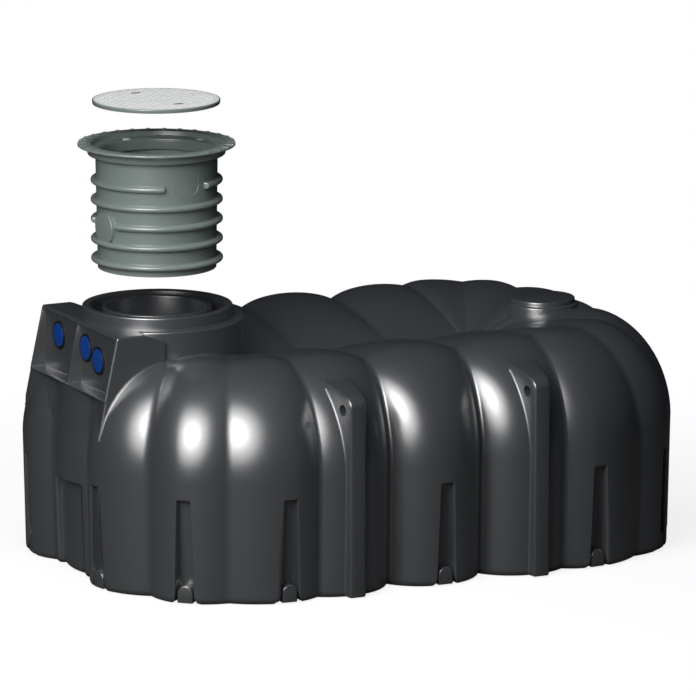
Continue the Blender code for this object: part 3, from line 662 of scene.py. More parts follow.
def size_of_copy(tree, given):
    """The inputs Length, Width and Height as one vector."""
    return add_node(tree, "ShaderNodeCombineXYZ", {
        "X": given["Length"], "Y": given["Width"], "Z": given["Height"],
    }).outputs[0]


def finish_pattern(tree, geometry, material):
    """Realize the instances, give them a material and end the tree."""
    real = add_node(tree, "GeometryNodeRealizeInstances", {"Geometry": geometry})
    painted = add_node(tree, "GeometryNodeSetMaterial", {"Geometry": real.outputs["Geometry"]})
    painted.inputs["Material"].default_value = material
    add_node(tree, "NodeGroupOutput", {"Geometry": painted.outputs["Geometry"]})


def grow_pattern(name, tree, values, place):
    """Run a pattern tree with the given values and keep the plain mesh at a place."""
    item = new_object(name, bpy.data.meshes.new(name))
    modifier = item.modifiers.new("pattern", "NODES")
    modifier.node_group = tree
    for socket in tree.interface.items_tree:
        if socket.in_out == "INPUT" and socket.name in values:
            modifier[socket.identifier] = values[socket.name]
    bake(item)
    for vertex in item.data.vertices:
        vertex.co += Vector(place)
    return item


# %% [markdown]
# The neck is two upright rings with a channel between them, where the shaft is set down. The
# blind boss at the other end is a flat round cap. Both are turned profiles.

# %% Neck and boss
COLLAR_RADIUS = 0.466
COLLAR_TOP = 1.343
NECK_TOP = 1.403
NECK_OUTER_RADIUS = 0.400
NECK_OUTER_BORE = 0.355
NECK_FOOT = COLLAR_TOP - 0.05
NECK_INNER_TOP = 1.394
NECK_INNER_RADIUS = 0.294
NECK_ROUND = 0.010
MANWAY_ROUND = 0.011
MANWAY_FOOT = 1.130
CHANNEL_FLOOR = 1.250
RING_STEPS = 144
neck_rings = turned("neck_rings", [
    (NECK_OUTER_RADIUS, NECK_FOOT, 0.0),
    (NECK_OUTER_RADIUS, NECK_TOP, NECK_ROUND),
    (NECK_OUTER_BORE, NECK_TOP, NECK_ROUND),
    (NECK_OUTER_BORE, CHANNEL_FLOOR, NECK_ROUND),
    (NECK_INNER_RADIUS, CHANNEL_FLOOR, NECK_ROUND),
    (NECK_INNER_RADIUS, NECK_INNER_TOP, MANWAY_ROUND),
    (MANWAY_RADIUS, NECK_INNER_TOP, MANWAY_ROUND),
    (MANWAY_RADIUS, MANWAY_FOOT, 0.0),
    (MANWAY_RADIUS + WALL, MANWAY_FOOT, 0.0),
    (MANWAY_RADIUS + WALL, CHANNEL_FLOOR - WALL, 0.0),
    (NECK_OUTER_RADIUS - WALL, CHANNEL_FLOOR - WALL, 0.0),
    (NECK_OUTER_RADIUS - WALL, NECK_FOOT, 0.0),
], NECK_X, RING_STEPS)

BOSS_X = 1.1755
BOSS_RADIUS = 0.177
BOSS_TOP = 1.236
BOSS_FOOT = 1.08
BOSS_SKIRT_RADIUS = BOSS_RADIUS + 0.016
BOSS_SKIRT_TOP = 1.205
BOSS_SKIRT_RISE = 0.004
boss = turned("boss", [
    (NEAR_AXIS, BOSS_FOOT, 0.0),
    (BOSS_SKIRT_RADIUS, BOSS_FOOT, 0.0),
    (BOSS_SKIRT_RADIUS, BOSS_SKIRT_TOP, 0.008),
    (BOSS_RADIUS + 0.001, BOSS_SKIRT_TOP + BOSS_SKIRT_RISE, 0.004),
    (BOSS_RADIUS, BOSS_TOP, 0.009),
    (NEAR_AXIS, BOSS_TOP, 0.0),
], BOSS_X, 96)
print("neck and boss:", len(neck_rings.data.polygons), len(boss.data.polygons), "faces")

# %% [markdown]
# The inlet block and the round collar behind it are one raised form. Its end face leans out
# to a sill. Two recesses have upright backs, so their side walls grow from nothing at the
# top to the sill, and three ribs are left between and beside them. Under the sill the face
# follows the three lobes of the end.

# %% Inlet block and collar
BLOCK_FACE_TOP_X = -1.572
BLOCK_FACE_SILL_X = -1.646
BLOCK_FACE_FOOT_X = -1.680
BLOCK_MERGE_Z = 0.85
BLOCK_SILL_STEP = 0.010
BLOCK_BOTTOM = 0.70
BLOCK_EDGE_RADIUS = 0.013
BLOCK_GROOVE_Y = 0.235
BLOCK_GROOVE_DEPTH = 0.052
BLOCK_TOP_ROUND = 0.013
CHAMFER_Z = 1.298
CHAMFER_RUN = 0.105
POCKET_BACK_X = -1.566
POCKET_TOP = 1.325
POCKET_EDGES = ((-0.452, 0.020), (0.048, 0.492))
POCKET_EDGE = 0.004
POCKET_TOP_ROWS = np.array([-0.015, -0.005, -0.002, 0.0, 0.002, 0.004])
BLOCK_SILL_EDGE = 0.003


def block_face_x(y, height):
    """X of the block's end face, its recesses included."""
    lean = (height - BLOCK_SILL_Z) / (COLLAR_TOP - BLOCK_SILL_Z)
    above = BLOCK_FACE_SILL_X + (BLOCK_FACE_TOP_X - BLOCK_FACE_SILL_X) * lean
    outer = BLOCK_FAR_Y + BLOCK_EDGE_RADIUS
    bow = (y / BLOCK_GROOVE_Y) ** 2
    if abs(y) > BLOCK_GROOVE_Y:
        bow = ((outer - abs(y)) / (outer - BLOCK_GROOVE_Y)) ** 2
    drop = min(1.0, (BLOCK_SILL_Z - height) / (BLOCK_SILL_Z - BLOCK_MERGE_Z))
    below = BLOCK_FACE_SILL_X + (BLOCK_FACE_FOOT_X - BLOCK_FACE_SILL_X) * drop
    below += 0.25 * BLOCK_SILL_STEP + BLOCK_GROOVE_DEPTH * bow
    over_sill = smooth_edge(height - BLOCK_SILL_Z + 0.7 * BLOCK_SILL_STEP, BLOCK_SILL_EDGE)
    face = below + (above - below) * over_sill
    recess = 0.0
    for low, high in POCKET_EDGES:
        recess = max(recess, smooth_edge(y - low, POCKET_EDGE) * smooth_edge(high - y, POCKET_EDGE))
    recess *= smooth_edge(height - BLOCK_SILL_Z - POCKET_EDGE, POCKET_EDGE)
    recess *= smooth_edge(POCKET_TOP - height, POCKET_EDGE)
    return face + (POCKET_BACK_X - face) * recess


def block_outline(height, inset):
    """The plan outline of block and collar at a height, from the far corner round."""
    near = BLOCK_NEAR_Y + inset
    far = BLOCK_FAR_Y - inset
    round_off = BLOCK_EDGE_RADIUS - inset
    radius = COLLAR_RADIUS - inset
    cut_back = CHAMFER_RUN * max(0.0, (height - CHAMFER_Z) / (COLLAR_TOP - CHAMFER_Z))
    back = BLOCK_BACK_X - inset - cut_back
    ring = []
    for edge, sign in ((far, 1), (near, -1)):
        corner_x = block_face_x(edge - sign * round_off, height) + inset + round_off
        arc = []
        for turn in np.linspace(0, pi / 2, 7):
            arc.append((corner_x - round_off * sin(turn), edge - sign * round_off * (1 - cos(turn))))
        if sign > 0:
            ring += arc
            for y in BLOCK_COLUMNS:
                ring.append((block_face_x(y, height) + inset, y))
        else:
            ring += arc[::-1]
    for x in np.linspace(ring[-1][0], back, 10)[1:]:
        ring.append((x, near))
    start = acos((back - NECK_X) / radius)
    for turn in np.linspace(-start, start, 97):
        ring.append((NECK_X + radius * cos(turn), radius * sin(turn)))
    for x in np.linspace(back, ring[0][0], 10)[:-1]:
        ring.append((x, far))
    return ring


def block_columns():
    """Places across the end face, closer together at the recesses' edges."""
    low = BLOCK_NEAR_Y + BLOCK_EDGE_RADIUS + 0.0005
    high = BLOCK_FAR_Y - BLOCK_EDGE_RADIUS - 0.0005
    places = list(np.linspace(low, high, 60))
    for edge in [value for pair in POCKET_EDGES for value in pair]:
        places += [edge + POCKET_EDGE * share for share in (-1, -0.5, 0, 0.5, 1)]
    return spaced([value for value in places if low <= value <= high], 0.001)[::-1]


BLOCK_COLUMNS = block_columns()
levels = [(height, 0.0) for height in np.linspace(BLOCK_BOTTOM, 0.985, 12)]
levels += [(BLOCK_SILL_Z + shift, 0.0) for shift in np.arange(-0.017, 0.012, 0.002)]
levels += [(height, 0.0) for height in np.linspace(1.03, CHAMFER_Z, 12)]
levels += [(height, 0.0) for height in POCKET_TOP + POCKET_TOP_ROWS]
for turn in np.linspace(0, pi / 2, 6):
    levels.append((COLLAR_TOP - BLOCK_TOP_ROUND * (1 - sin(turn)), BLOCK_TOP_ROUND * (1 - cos(turn))))
levels.append((COLLAR_TOP, BLOCK_TOP_ROUND + 0.004))
block_points = []
for height, inset in levels:
    block_points += [(x, y, height) for x, y in block_outline(height, inset)]
around = len(block_points) // len(levels)
block = mesh_object("inlet_block", block_points, ring_faces(len(levels), around))


def close_top(item, radius, steps=96):
    """Fill the flat top between the outline and the neck."""
    with editing(item) as bm:
        edges = [e for e in bm.edges if e.is_boundary and min(v.co.z for v in e.verts) > COLLAR_TOP - 1e-5]
        circle = []
        for step in range(steps):
            turn = 2 * pi * step / steps
            circle.append(bm.verts.new((NECK_X + radius * cos(turn), radius * sin(turn), COLLAR_TOP)))
        for first, second in zip(circle, circle[1:] + circle[:1]):
            edges.append(bm.edges.new((first, second)))
        filled = bmesh.ops.triangle_fill(bm, use_beauty=True, edges=edges, normal=(0, 0, 1))
        for face in filled["geom"]:
            if isinstance(face, bmesh.types.BMFace) and face.normal.z < 0:
                face.normal_flip()


close_top(block, NECK_OUTER_RADIUS - WALL)
face_out(block)
soften(block, 38.0)
print("block and collar:", len(block.data.polygons), "faces")

# %% [markdown]
# Three openings in the recesses hold a rubber pipe seal, each closed by a blue plug. Seal and
# plug are turned profiles with a level axis that points out of the recess.

# %% Pipe seals and plugs
SEAL_PLACES = ((0.296, 1.216), (-0.060, 1.213), (-0.220, 1.174))
SEAL_RADIUS = 0.076
SEAL_BACK = -0.010
SEAL_FRONT = 0.007
PLUG_RADIUS = 0.0635
PLUG_BACK = -0.020
PLUG_FRONT = 0.009
SEAL_BORE = PLUG_RADIUS + 0.0005
seal_corners = [
    (SEAL_BORE, SEAL_BACK, 0.0),
    (SEAL_RADIUS, SEAL_BACK, 0.0),
    (SEAL_RADIUS, SEAL_FRONT, 0.003),
    (SEAL_BORE, SEAL_FRONT, 0.002),
]
plug_corners = disc_profile(PLUG_RADIUS, PLUG_BACK, PLUG_FRONT, 0.002)
seals = []
plugs = []
for number, (y, z) in enumerate(SEAL_PLACES, 1):
    base = (POCKET_BACK_X, y, z)
    seals.append(turned_level("seal_%d" % number, seal_corners, base, 180.0))
    plugs.append(turned_level("plug_%d" % number, plug_corners, base, 180.0))
print("seals and plugs:", len(seals) + len(plugs))

# %% [markdown]
# Each lug is an upright plate in front of a crest, with a sloped top that runs back into
# the roof and an eye through it. A narrow fillet runs where it meets the lobe.

# %% Lifting lugs
LUG_WIDTH = 0.090
LUG_FLARE = 0.16
LUG_FRONT_Y = 1.236
LUG_BACK_Y = 0.93
LUG_BEND_Z = 1.020
LUG_BEND_RADIUS = 0.09
LUG_TOP_Y = 0.80
LUG_TOP_Z = 1.165
LUG_ROOT_Z = 0.870
LUG_SHOULDER_Z = 1.085
LUG_EYE_RADIUS = 0.030
LUG_EYE_FROM_FRONT = 0.072
LUG_EYE_Z = 1.000
LUG_EDGE = 0.012
LUG_FOOT_Z = 0.004
EYE_CUT = 0.2


def lug_half_width(y):
    """Half of a lug's width: its flanks flare towards the lobe."""
    return LUG_WIDTH / 2 + LUG_FLARE * (LUG_FRONT_Y - y)


def lug_outline():
    outline = [(LUG_BACK_Y, LUG_FOOT_Z), (LUG_FRONT_Y, LUG_FOOT_Z)]
    lean = atan2(LUG_TOP_Z - LUG_SHOULDER_Z, LUG_FRONT_Y - LUG_BEND_RADIUS - LUG_TOP_Y)
    for step in range(11):
        turn = (pi / 2 - lean) * step / 10
        y = LUG_FRONT_Y - LUG_BEND_RADIUS + LUG_BEND_RADIUS * cos(turn)
        outline.append((y, LUG_BEND_Z + (LUG_SHOULDER_Z - LUG_BEND_Z) * sin(turn)))
    outline.append((LUG_TOP_Y, LUG_TOP_Z))
    outline.append((LUG_TOP_Y, LUG_ROOT_Z))
    outline.append((LUG_BACK_Y, LUG_ROOT_Z))
    return outline


def build_lug(name, end, side):
    flanks = []
    for sign in (-1, 1):
        flanks.append([
            (end * LUG_X + sign * lug_half_width(y), side * y, z) for y, z in lug_outline()
        ])
    lug = prism(name, *flanks)
    bevelled(lug, LUG_EDGE, 3, 40.0)
    eye_place = (end * LUG_X, side * (LUG_FRONT_Y - LUG_EYE_FROM_FRONT), LUG_EYE_Z)
    eye = turned_level("eye", disc_profile(LUG_EYE_RADIUS, -EYE_CUT, EYE_CUT), eye_place, 180.0, 32)
    cut = lug.modifiers.new("eye", "BOOLEAN")
    cut.operation = "DIFFERENCE"
    cut.solver = "EXACT"
    cut.object = eye
    bake(lug)
    bpy.data.objects.remove(eye, do_unlink=True)
    soften(lug, 40.0)
    return lug


lugs = {}
for end, end_name in ((-1, "left"), (1, "right")):
    for side, side_name in ((-1, "near"), (1, "far")):
        name = "lug_%s_%s" % (side_name, end_name)
        lugs[name] = build_lug("plate_" + name, end, side)
print("lugs:", len(lugs))

# %% [markdown]
# At the foot of every slot stands a low step with a bowed top, moulded in one with the wall. A
# step drawn by the skin's grid has ragged edges, so each is a small solid joined to the skin.

# %% Steps at the slots' feet
STEP_HALF_WIDTH = 0.043
STEP_BASE = 0.006
STEP_SHOULDER = 0.55
STEP_ROOT = 0.015
STEP_EDGE = 0.007


def foot_step(place, sign_x, sign_y):
    """One bowed step, set back from the wall at a slot's middle."""
    centre, outward, tangent = wall_place(place)
    outline = [(-STEP_HALF_WIDTH, STEP_BASE), (STEP_HALF_WIDTH, STEP_BASE)]
    for turn in np.linspace(0, pi, 13):
        height = SLOT_STEP_HEIGHT * (STEP_SHOULDER + (1 - STEP_SHOULDER) * sin(turn))
        outline.append((STEP_HALF_WIDTH * cos(turn), height))
    ends = []
    for depth in (SLOT_DEPTH_FOOT + STEP_ROOT, SLOT_STEP_DEPTH):
        middle = centre - outward * (WALL_DRAFT + depth)
        points = [(middle + tangent * across, height) for across, height in outline]
        ends.append([(sign_x * x, sign_y * y, height) for (x, y), height in points])
    step = prism("step", *ends)
    bevelled(step, STEP_EDGE, 3, 50.0)
    return step


steps = []
for place, kind in SLOT_PLACES:
    for sign_x in (-1, 1):
        for sign_y in (-1, 1):
            if kind == "slot" and (place > 0.0 or sign_x > 0):
                steps.append(foot_step(place, sign_x, sign_y))
print("steps at the slots' feet:", len(steps))
tank_skin = join("tank_skin", [tank_skin] + steps)

# %% [markdown]
# Where the block, the collar and the lugs grow out of the lobes, the mould leaves a small
# inside rounding. It is a strip along the line where the two surfaces cross: a ball rolled
# along both has its centre at p + r (n1 + n2) / (1 + n1 . n2).

# %% Inside roundings
FILLET_RADIUS = 0.011
FILLET_STEPS = 6
FILLET_TUCK = 0.0006
SHARPEST_MEETING = 0.12
BLOCK_STRIP_FOOT = 0.80
COLLAR_STRIP_FOOT = 1.0
LUG_STRIP_TOP = 1.09
LUG_STRIP_MARGIN = 0.02


def outward_normals(grid):
    """Outward normals of a quarter's grid."""
    normals = np.cross(np.gradient(grid, axis=1), np.gradient(grid, axis=0))
    return normals / np.maximum(np.linalg.norm(normals, axis=-1, keepdims=True), 1e-9)


def crossings(grid, normals, values, wanted):
    """Points and normals where a value changes sign along each line of a grid."""
    found = []
    for line, line_normals, line_values in zip(grid, normals, values):
        for k in range(len(line) - 1):
            first, second = line_values[k], line_values[k + 1]
            if first * second > 0 or first == second:
                continue
            share = first / (first - second)
            point = line[k] + (line[k + 1] - line[k]) * share
            if wanted(point):
                found.append((point, line_normals[k] + (line_normals[k + 1] - line_normals[k]) * share))
                break
    return found


def rounding_strip(name, lines, values, wanted, other_normal):
    """The strip that a rolled ball leaves between the skin and another surface."""
    found = crossings(*lines, values, wanted)
    rings = []
    for point, normal in found:
        normal = normal / np.linalg.norm(normal)
        other = other_normal(point)
        meet = 1 + float(normal @ other)
        if meet < SHARPEST_MEETING:
            continue
        centre = point + FILLET_RADIUS * (normal + other) / meet
        ring = []
        for t in np.linspace(0, 1, FILLET_STEPS + 1):
            aim = -(normal * (1 - t) + other * t)
            ring.append(centre + FILLET_RADIUS * aim / np.linalg.norm(aim))
        rings.append([ring[0] - normal * FILLET_TUCK] + ring + [ring[-1] - other * FILLET_TUCK])
    points = [point for ring in rings for point in ring]
    strip = mesh_object(name, points, grid_faces(len(rings), FILLET_STEPS + 3))
    facing = 0.0
    for polygon in strip.data.polygons:
        centre = np.array(polygon.center)
        nearest = min(found, key=lambda pair: float(np.sum((pair[0] - centre) ** 2)))
        facing += float(np.array(polygon.normal) @ (nearest[1] + other_normal(nearest[0])))
    if facing < 0:
        strip.data.flip_normals()
    strip.data.shade_smooth()
    return strip


skin_normals = outward_normals(quarter)
upper_rows = len(INNER_SHARES) + len(OUTER_TURNS)
strips = []
for end, side in ((-1, -1), (-1, 1), (1, -1), (1, 1)):
    mirror = np.array([end, -side, 1.0])
    grid = quarter * mirror
    normals = skin_normals * mirror
    rows = grid.transpose(1, 0, 2)[len(INNER_SHARES):]
    by_rows = (rows, normals.transpose(1, 0, 2)[len(INNER_SHARES):])
    over = grid[:, :upper_rows]
    by_columns = (over, normals[:, :upper_rows])
    if end < 0:
        plane_y = BLOCK_NEAR_Y if side < 0 else BLOCK_FAR_Y
        strips.append(rounding_strip(
            "block_side", by_rows, rows[..., 1] - plane_y,
            lambda p: p[0] < BLOCK_BACK_X and p[2] > BLOCK_STRIP_FOOT,
            lambda p: np.array([0.0, float(side), 0.0]),
        ))
        strips.append(rounding_strip(
            "collar_foot", by_columns, np.hypot(over[..., 0] - NECK_X, over[..., 1]) - COLLAR_RADIUS,
            lambda p: p[0] > BLOCK_BACK_X and p[2] > COLLAR_STRIP_FOOT,
            lambda p: np.array([p[0] - NECK_X, p[1], 0.0]) / COLLAR_RADIUS,
        ))
    for flank in (-1, 1):
        across = flank * (rows[..., 0] - end * LUG_X)
        flank_normal = np.array([flank, side * LUG_FLARE, 0.0]) / sqrt(1 + LUG_FLARE ** 2)
        strips.append(rounding_strip(
            "lug_root", by_rows, across - lug_half_width(np.abs(rows[..., 1])),
            lambda p: LUG_BACK_Y < abs(p[1]) < LUG_FRONT_Y - LUG_STRIP_MARGIN
            and LUG_STRIP_MARGIN < p[2] < LUG_STRIP_TOP,
            lambda p: flank_normal,
        ))
fillets = join("inside_roundings", strips)
print("inside roundings:", len(fillets.data.polygons), "faces")

# %% [markdown]
# The access shaft is a ribbed tube. Ribs stop where a round pad stands on the tube. Its frame
# has a notched edge and a recess that takes the cover.

# %% Access shaft
SHAFT_BOTTOM = 1.605
SHAFT_TOP = 2.210
SHAFT_TOP_RADIUS = 0.324
SHAFT_BOTTOM_RADIUS = 0.3145
SHAFT_WALL = 0.012
RIB_RADIUS = 0.350
RIB_HEIGHT = 0.036
RIB_LEVELS = (2.074, 1.969, 1.864, 1.759, 1.654)
RIB_POWER = 2.6
# which rib, and between which degrees it is left out
RIB_BREAKS = ((0, 253.0, 297.0), (2, 166.0, 204.0))
RIB_BREAK_EDGE = 0.6
RIB_ROWS = 15
SHAFT_LIP = 0.004
SHAFT_STEPS = 288


def shaft_radius(height):
    share = (height - SHAFT_BOTTOM) / (SHAFT_TOP - SHAFT_BOTTOM)
    return SHAFT_BOTTOM_RADIUS + (SHAFT_TOP_RADIUS - SHAFT_BOTTOM_RADIUS) * share


def build_shaft():
    heights = [SHAFT_BOTTOM, SHAFT_BOTTOM + SHAFT_LIP]
    for level in reversed(RIB_LEVELS):
        heights += list(level + np.linspace(-RIB_HEIGHT / 2, RIB_HEIGHT / 2, RIB_ROWS))
    heights.append(SHAFT_TOP)
    heights = np.array(sorted(heights))
    turns = np.linspace(0, 2 * pi, SHAFT_STEPS + 1)[:-1]
    degrees_round = np.degrees(turns)
    radius = shaft_radius(heights)[:, None] * np.ones(SHAFT_STEPS)
    for index, level in enumerate(RIB_LEVELS):
        local = (heights - level) / (RIB_HEIGHT / 2)
        bump = (RIB_RADIUS - shaft_radius(level)) * np.clip(1 - np.abs(local) ** RIB_POWER, 0, 1) ** 0.5
        present = np.ones(SHAFT_STEPS)
        for rib, low, high in RIB_BREAKS:
            if rib == index:
                present *= 1 - (smooth_edge(degrees_round - low, RIB_BREAK_EDGE)
                                * smooth_edge(high - degrees_round, RIB_BREAK_EDGE))
        radius += bump[:, None] * present
    rings = list(zip(radius, heights))
    rings += [(SHAFT_TOP_RADIUS - SHAFT_WALL, SHAFT_TOP), (SHAFT_BOTTOM_RADIUS - SHAFT_WALL, SHAFT_BOTTOM)]
    points = []
    for reach, height in rings:
        ring = [NECK_X + np.cos(turns) * reach, np.sin(turns) * reach, np.full(SHAFT_STEPS, height)]
        points += list(np.stack(ring, axis=-1))
    tube = mesh_object("shaft_body", points, ring_faces(len(rings), SHAFT_STEPS, closed=True))
    face_out(tube)
    soften(tube, 40.0)
    return tube


shaft_body = build_shaft()
print("shaft:", len(shaft_body.data.polygons), "faces")

# %% [markdown]
# One round pad stands out flat from the tube, the other follows it and shows as a thin ring.
# They look like places where a pipe can be let in.

# %% Shaft pads
PAD_ROOT = 0.06
PAD_STEPS = 72
FLUSH_PAD_RINGS = (
    (1.0, -0.002), (1.0, 0.0012), (0.982, 0.0017), (0.962, 0.0012), (0.955, 0.0004), (0.0, 0.0004),
)


def pad_on_tube(name, azimuth, height, radius, standing):
    """A flat round pad on the tube, facing out at an azimuth in degrees."""
    corners = disc_profile(radius, shaft_radius(height) - PAD_ROOT, standing, 0.004)
    return turned_level(name, corners, (NECK_X, 0.0, height), azimuth, PAD_STEPS)


def flush_pad(name, azimuth, height, radius):
    """A round pad that follows the tube, outlined by a thin raised ring."""
    points = []
    for share, lift in FLUSH_PAD_RINGS:
        for step in range(PAD_STEPS):
            angle = 2 * pi * step / PAD_STEPS
            z = height + radius * share * sin(angle)
            reach = shaft_radius(z) + lift
            turn = radians(azimuth) + radius * share * cos(angle) / shaft_radius(height)
            points.append((NECK_X + reach * cos(turn), reach * sin(turn), z))
    pad = mesh_object(name, points, ring_faces(len(FLUSH_PAD_RINGS), PAD_STEPS))
    outward = Vector((cos(radians(azimuth)), sin(radians(azimuth)), 0))
    middle = max(pad.data.polygons, key=lambda polygon: polygon.area)
    if middle.normal.dot(outward) < 0:
        pad.data.flip_normals()
    soften(pad)
    return pad


pads = [
    flush_pad("pad_front", 275.5, 2.096, 0.080),
    pad_on_tube("pad_left", 187.0, 1.842, 0.086, 0.331),
]
print("pads:", len(pads))

# %% [markdown]
# The frame is one turned ring with a skirt, a flange and a ledge for the cover. Its flange is
# marked and notched all round, which Geometry Nodes repeat. Three small blocks stand on the
# ledge.

# %% Frame of the shaft
FRAME_RADIUS = 0.418
FRAME_TOP = 2.271
FRAME_THICKNESS = 0.012
FRAME_SKIRT_RADIUS = 0.370
FRAME_RECESS_RADIUS = 0.345
FRAME_LEDGE_DROP = 0.025
FRAME_OPENING_RADIUS = 0.289
FRAME_FOOT = SHAFT_TOP - 0.03
FLANGE_FOOT = FRAME_TOP - FRAME_THICKNESS
LEDGE_Z = FRAME_TOP - FRAME_LEDGE_DROP
shaft_ring = turned("frame_ring", [
    (FRAME_OPENING_RADIUS, FRAME_FOOT, 0.003),
    (SHAFT_TOP_RADIUS - 0.004, FRAME_FOOT, 0.003),
    (SHAFT_TOP_RADIUS + 0.001, SHAFT_TOP, 0.002),
    (FRAME_SKIRT_RADIUS - 0.006, SHAFT_TOP + 0.002, 0.006),
    (FRAME_SKIRT_RADIUS, FRAME_TOP - 0.034, 0.006),
    (FRAME_SKIRT_RADIUS + 0.014, FLANGE_FOOT, 0.006),
    (FRAME_RADIUS, FLANGE_FOOT, 0.003),
    (FRAME_RADIUS, FRAME_TOP, 0.004),
    (FRAME_RECESS_RADIUS, FRAME_TOP, 0.004),
    (FRAME_RECESS_RADIUS, LEDGE_Z, 0.003),
    (FRAME_OPENING_RADIUS + 0.012, LEDGE_Z, 0.004),
    (FRAME_OPENING_RADIUS, LEDGE_Z - 0.010, 0.004),
], NECK_X, RING_STEPS)


MARKS = {"Count": 30, "Radius": 0.390, "Length": 0.030, "Width": 0.007, "Height": 0.0030}
TEETH = {"Count": 30, "Radius": FRAME_RADIUS - 0.006, "Length": 0.012, "Width": 0.020, "Height": 0.0050}


def ring_tree():
    """Small blocks in a circle, each turned to face out."""
    tree, given = pattern_tree("blocks_in_a_circle", MARKS)
    circle = add_node(tree, "GeometryNodeMeshCircle", {
        "Vertices": given["Count"], "Radius": given["Radius"],
    })
    block = add_node(tree, "GeometryNodeMeshCube", {"Size": size_of_copy(tree, given)})
    where = add_node(tree, "GeometryNodeInputPosition")
    facing = add_node(tree, "FunctionNodeAlignRotationToVector", {"Vector": where.outputs[0]}, axis="X")
    placed = add_node(tree, "GeometryNodeInstanceOnPoints", {
        "Points": circle.outputs["Mesh"], "Instance": block.outputs["Mesh"],
        "Rotation": facing.outputs["Rotation"],
    })
    finish_pattern(tree, placed.outputs["Instances"], grey_green)
    return tree


blocks_in_a_circle = ring_tree()
frame_marks = grow_pattern("frame_marks", blocks_in_a_circle, MARKS, (NECK_X, 0.0, FRAME_TOP))
frame_teeth = grow_pattern("frame_teeth", blocks_in_a_circle, TEETH, (NECK_X, 0.0, FRAME_TOP))

LATCH_RISE = 0.003
LATCH_EDGE = 0.003
# name, azimuth in degrees, radius, length, width, drop below the ledge
LATCHES = (
    ("latch_far", 98.0, 0.300, 0.020, 0.042, 0.026),
    ("latch_right", 18.0, 0.315, 0.024, 0.040, 0.006),
    ("latch_near", 262.0, 0.300, 0.020, 0.042, 0.026),
)


def latch(name, azimuth, radius, length, width, drop):
    """A small block that stands from a drop below the ledge to a little above it."""
    turn = radians(azimuth)
    out = np.array([cos(turn), sin(turn)]) * length / 2
    side = np.array([-sin(turn), cos(turn)]) * width / 2
    middle = np.array([NECK_X + radius * cos(turn), radius * sin(turn)])
    corners = [middle + a * out + b * side for a, b in ((-1, -1), (1, -1), (1, 1), (-1, 1))]
    ends = [[(x, y, z) for x, y in corners] for z in (LEDGE_Z - drop, LEDGE_Z + LATCH_RISE)]
    item = prism(name, *ends)
    bevelled(item, LATCH_EDGE, 2, 30.0)
    return item


latches = [latch(*values) for values in LATCHES]
print("frame:", len(shaft_ring.data.polygons), "faces")

# %% [markdown]
# The cover is a plate inside a rim, with a tread of small raised bars. The bars could be a
# bump in the material, but the photo looks along the plate at a low angle, where only a mesh
# keeps their outline.

# %% Cover
COVER_RADIUS = 0.340
COVER_TOP = 2.505
COVER_THICKNESS = 0.023
COVER_RIM_WIDTH = 0.009
TREAD_HEIGHT = 0.0016
COVER_FACE = COVER_TOP - TREAD_HEIGHT
COVER_FOOT = COVER_TOP - COVER_THICKNESS
PLATE_FOOT = COVER_TOP - COVER_THICKNESS / 2
PLATE_TOP = COVER_FACE - 0.0002
RIM_BORE = COVER_RADIUS - COVER_RIM_WIDTH
RIM_TAPER = 0.003
cover_edge = turned("cover_edge", [
    (RIM_BORE, COVER_FOOT, 0.001),
    (COVER_RADIUS - RIM_TAPER, COVER_FOOT, 0.002),
    (COVER_RADIUS, COVER_TOP - 0.005, 0.002),
    (COVER_RADIUS - RIM_TAPER, COVER_FACE, 0.001),
    (RIM_BORE, COVER_FACE, 0.0005),
], NECK_X, RING_STEPS)
plate_corners = disc_profile(RIM_BORE + 0.001, PLATE_FOOT, PLATE_TOP)
cover_disc = turned("cover_disc", plate_corners, NECK_X, RING_STEPS)


TREAD = {"Pitch": 0.0265, "Radius": 0.318, "Length": 0.026, "Width": 0.008, "Height": 0.0028}
TREAD_ROWS = 25
TREAD_SINK = 0.0001


def tread_tree():
    """Rows of small raised bars in a disc, turned one way and the other by turns."""
    tree, given = pattern_tree("tread_bars", TREAD)
    span = worked_out(tree, "MULTIPLY", given["Pitch"], float(TREAD_ROWS - 1))
    grid = add_node(tree, "GeometryNodeMeshGrid", {
        "Size X": span, "Size Y": span, "Vertices X": TREAD_ROWS, "Vertices Y": TREAD_ROWS,
    })
    where = add_node(tree, "GeometryNodeInputPosition")
    reach = add_node(tree, "ShaderNodeVectorMath", {0: where.outputs[0]}, operation="LENGTH")
    outside = add_node(tree, "FunctionNodeCompare", {
        0: reach.outputs["Value"], 1: given["Radius"],
    }, data_type="FLOAT", operation="GREATER_THAN")
    inside = add_node(tree, "GeometryNodeDeleteGeometry", {
        "Geometry": grid.outputs["Mesh"], "Selection": outside.outputs["Result"],
    }, domain="POINT")
    steps = add_node(tree, "ShaderNodeVectorMath", {
        0: where.outputs[0], 1: given["Pitch"],
    }, operation="DIVIDE")
    parts = add_node(tree, "ShaderNodeSeparateXYZ", {0: steps.outputs["Vector"]})
    total = worked_out(tree, "ADD", parts.outputs["X"], parts.outputs["Y"])
    odd = worked_out(tree, "FLOORED_MODULO", worked_out(tree, "ROUND", total), 2.0)
    turn = add_node(tree, "ShaderNodeMapRange", {"Value": odd, "To Min": pi / 4, "To Max": -pi / 4})
    rotation = add_node(tree, "ShaderNodeCombineXYZ", {"Z": turn.outputs["Result"]})
    lens = add_node(tree, "GeometryNodeMeshUVSphere", {"Segments": 10, "Rings": 6, "Radius": 0.5})
    placed = add_node(tree, "GeometryNodeInstanceOnPoints", {
        "Points": inside.outputs["Geometry"], "Instance": lens.outputs["Mesh"],
        "Rotation": rotation.outputs[0], "Scale": size_of_copy(tree, given),
    })
    finish_pattern(tree, placed.outputs["Instances"], cover_grey)
    return tree


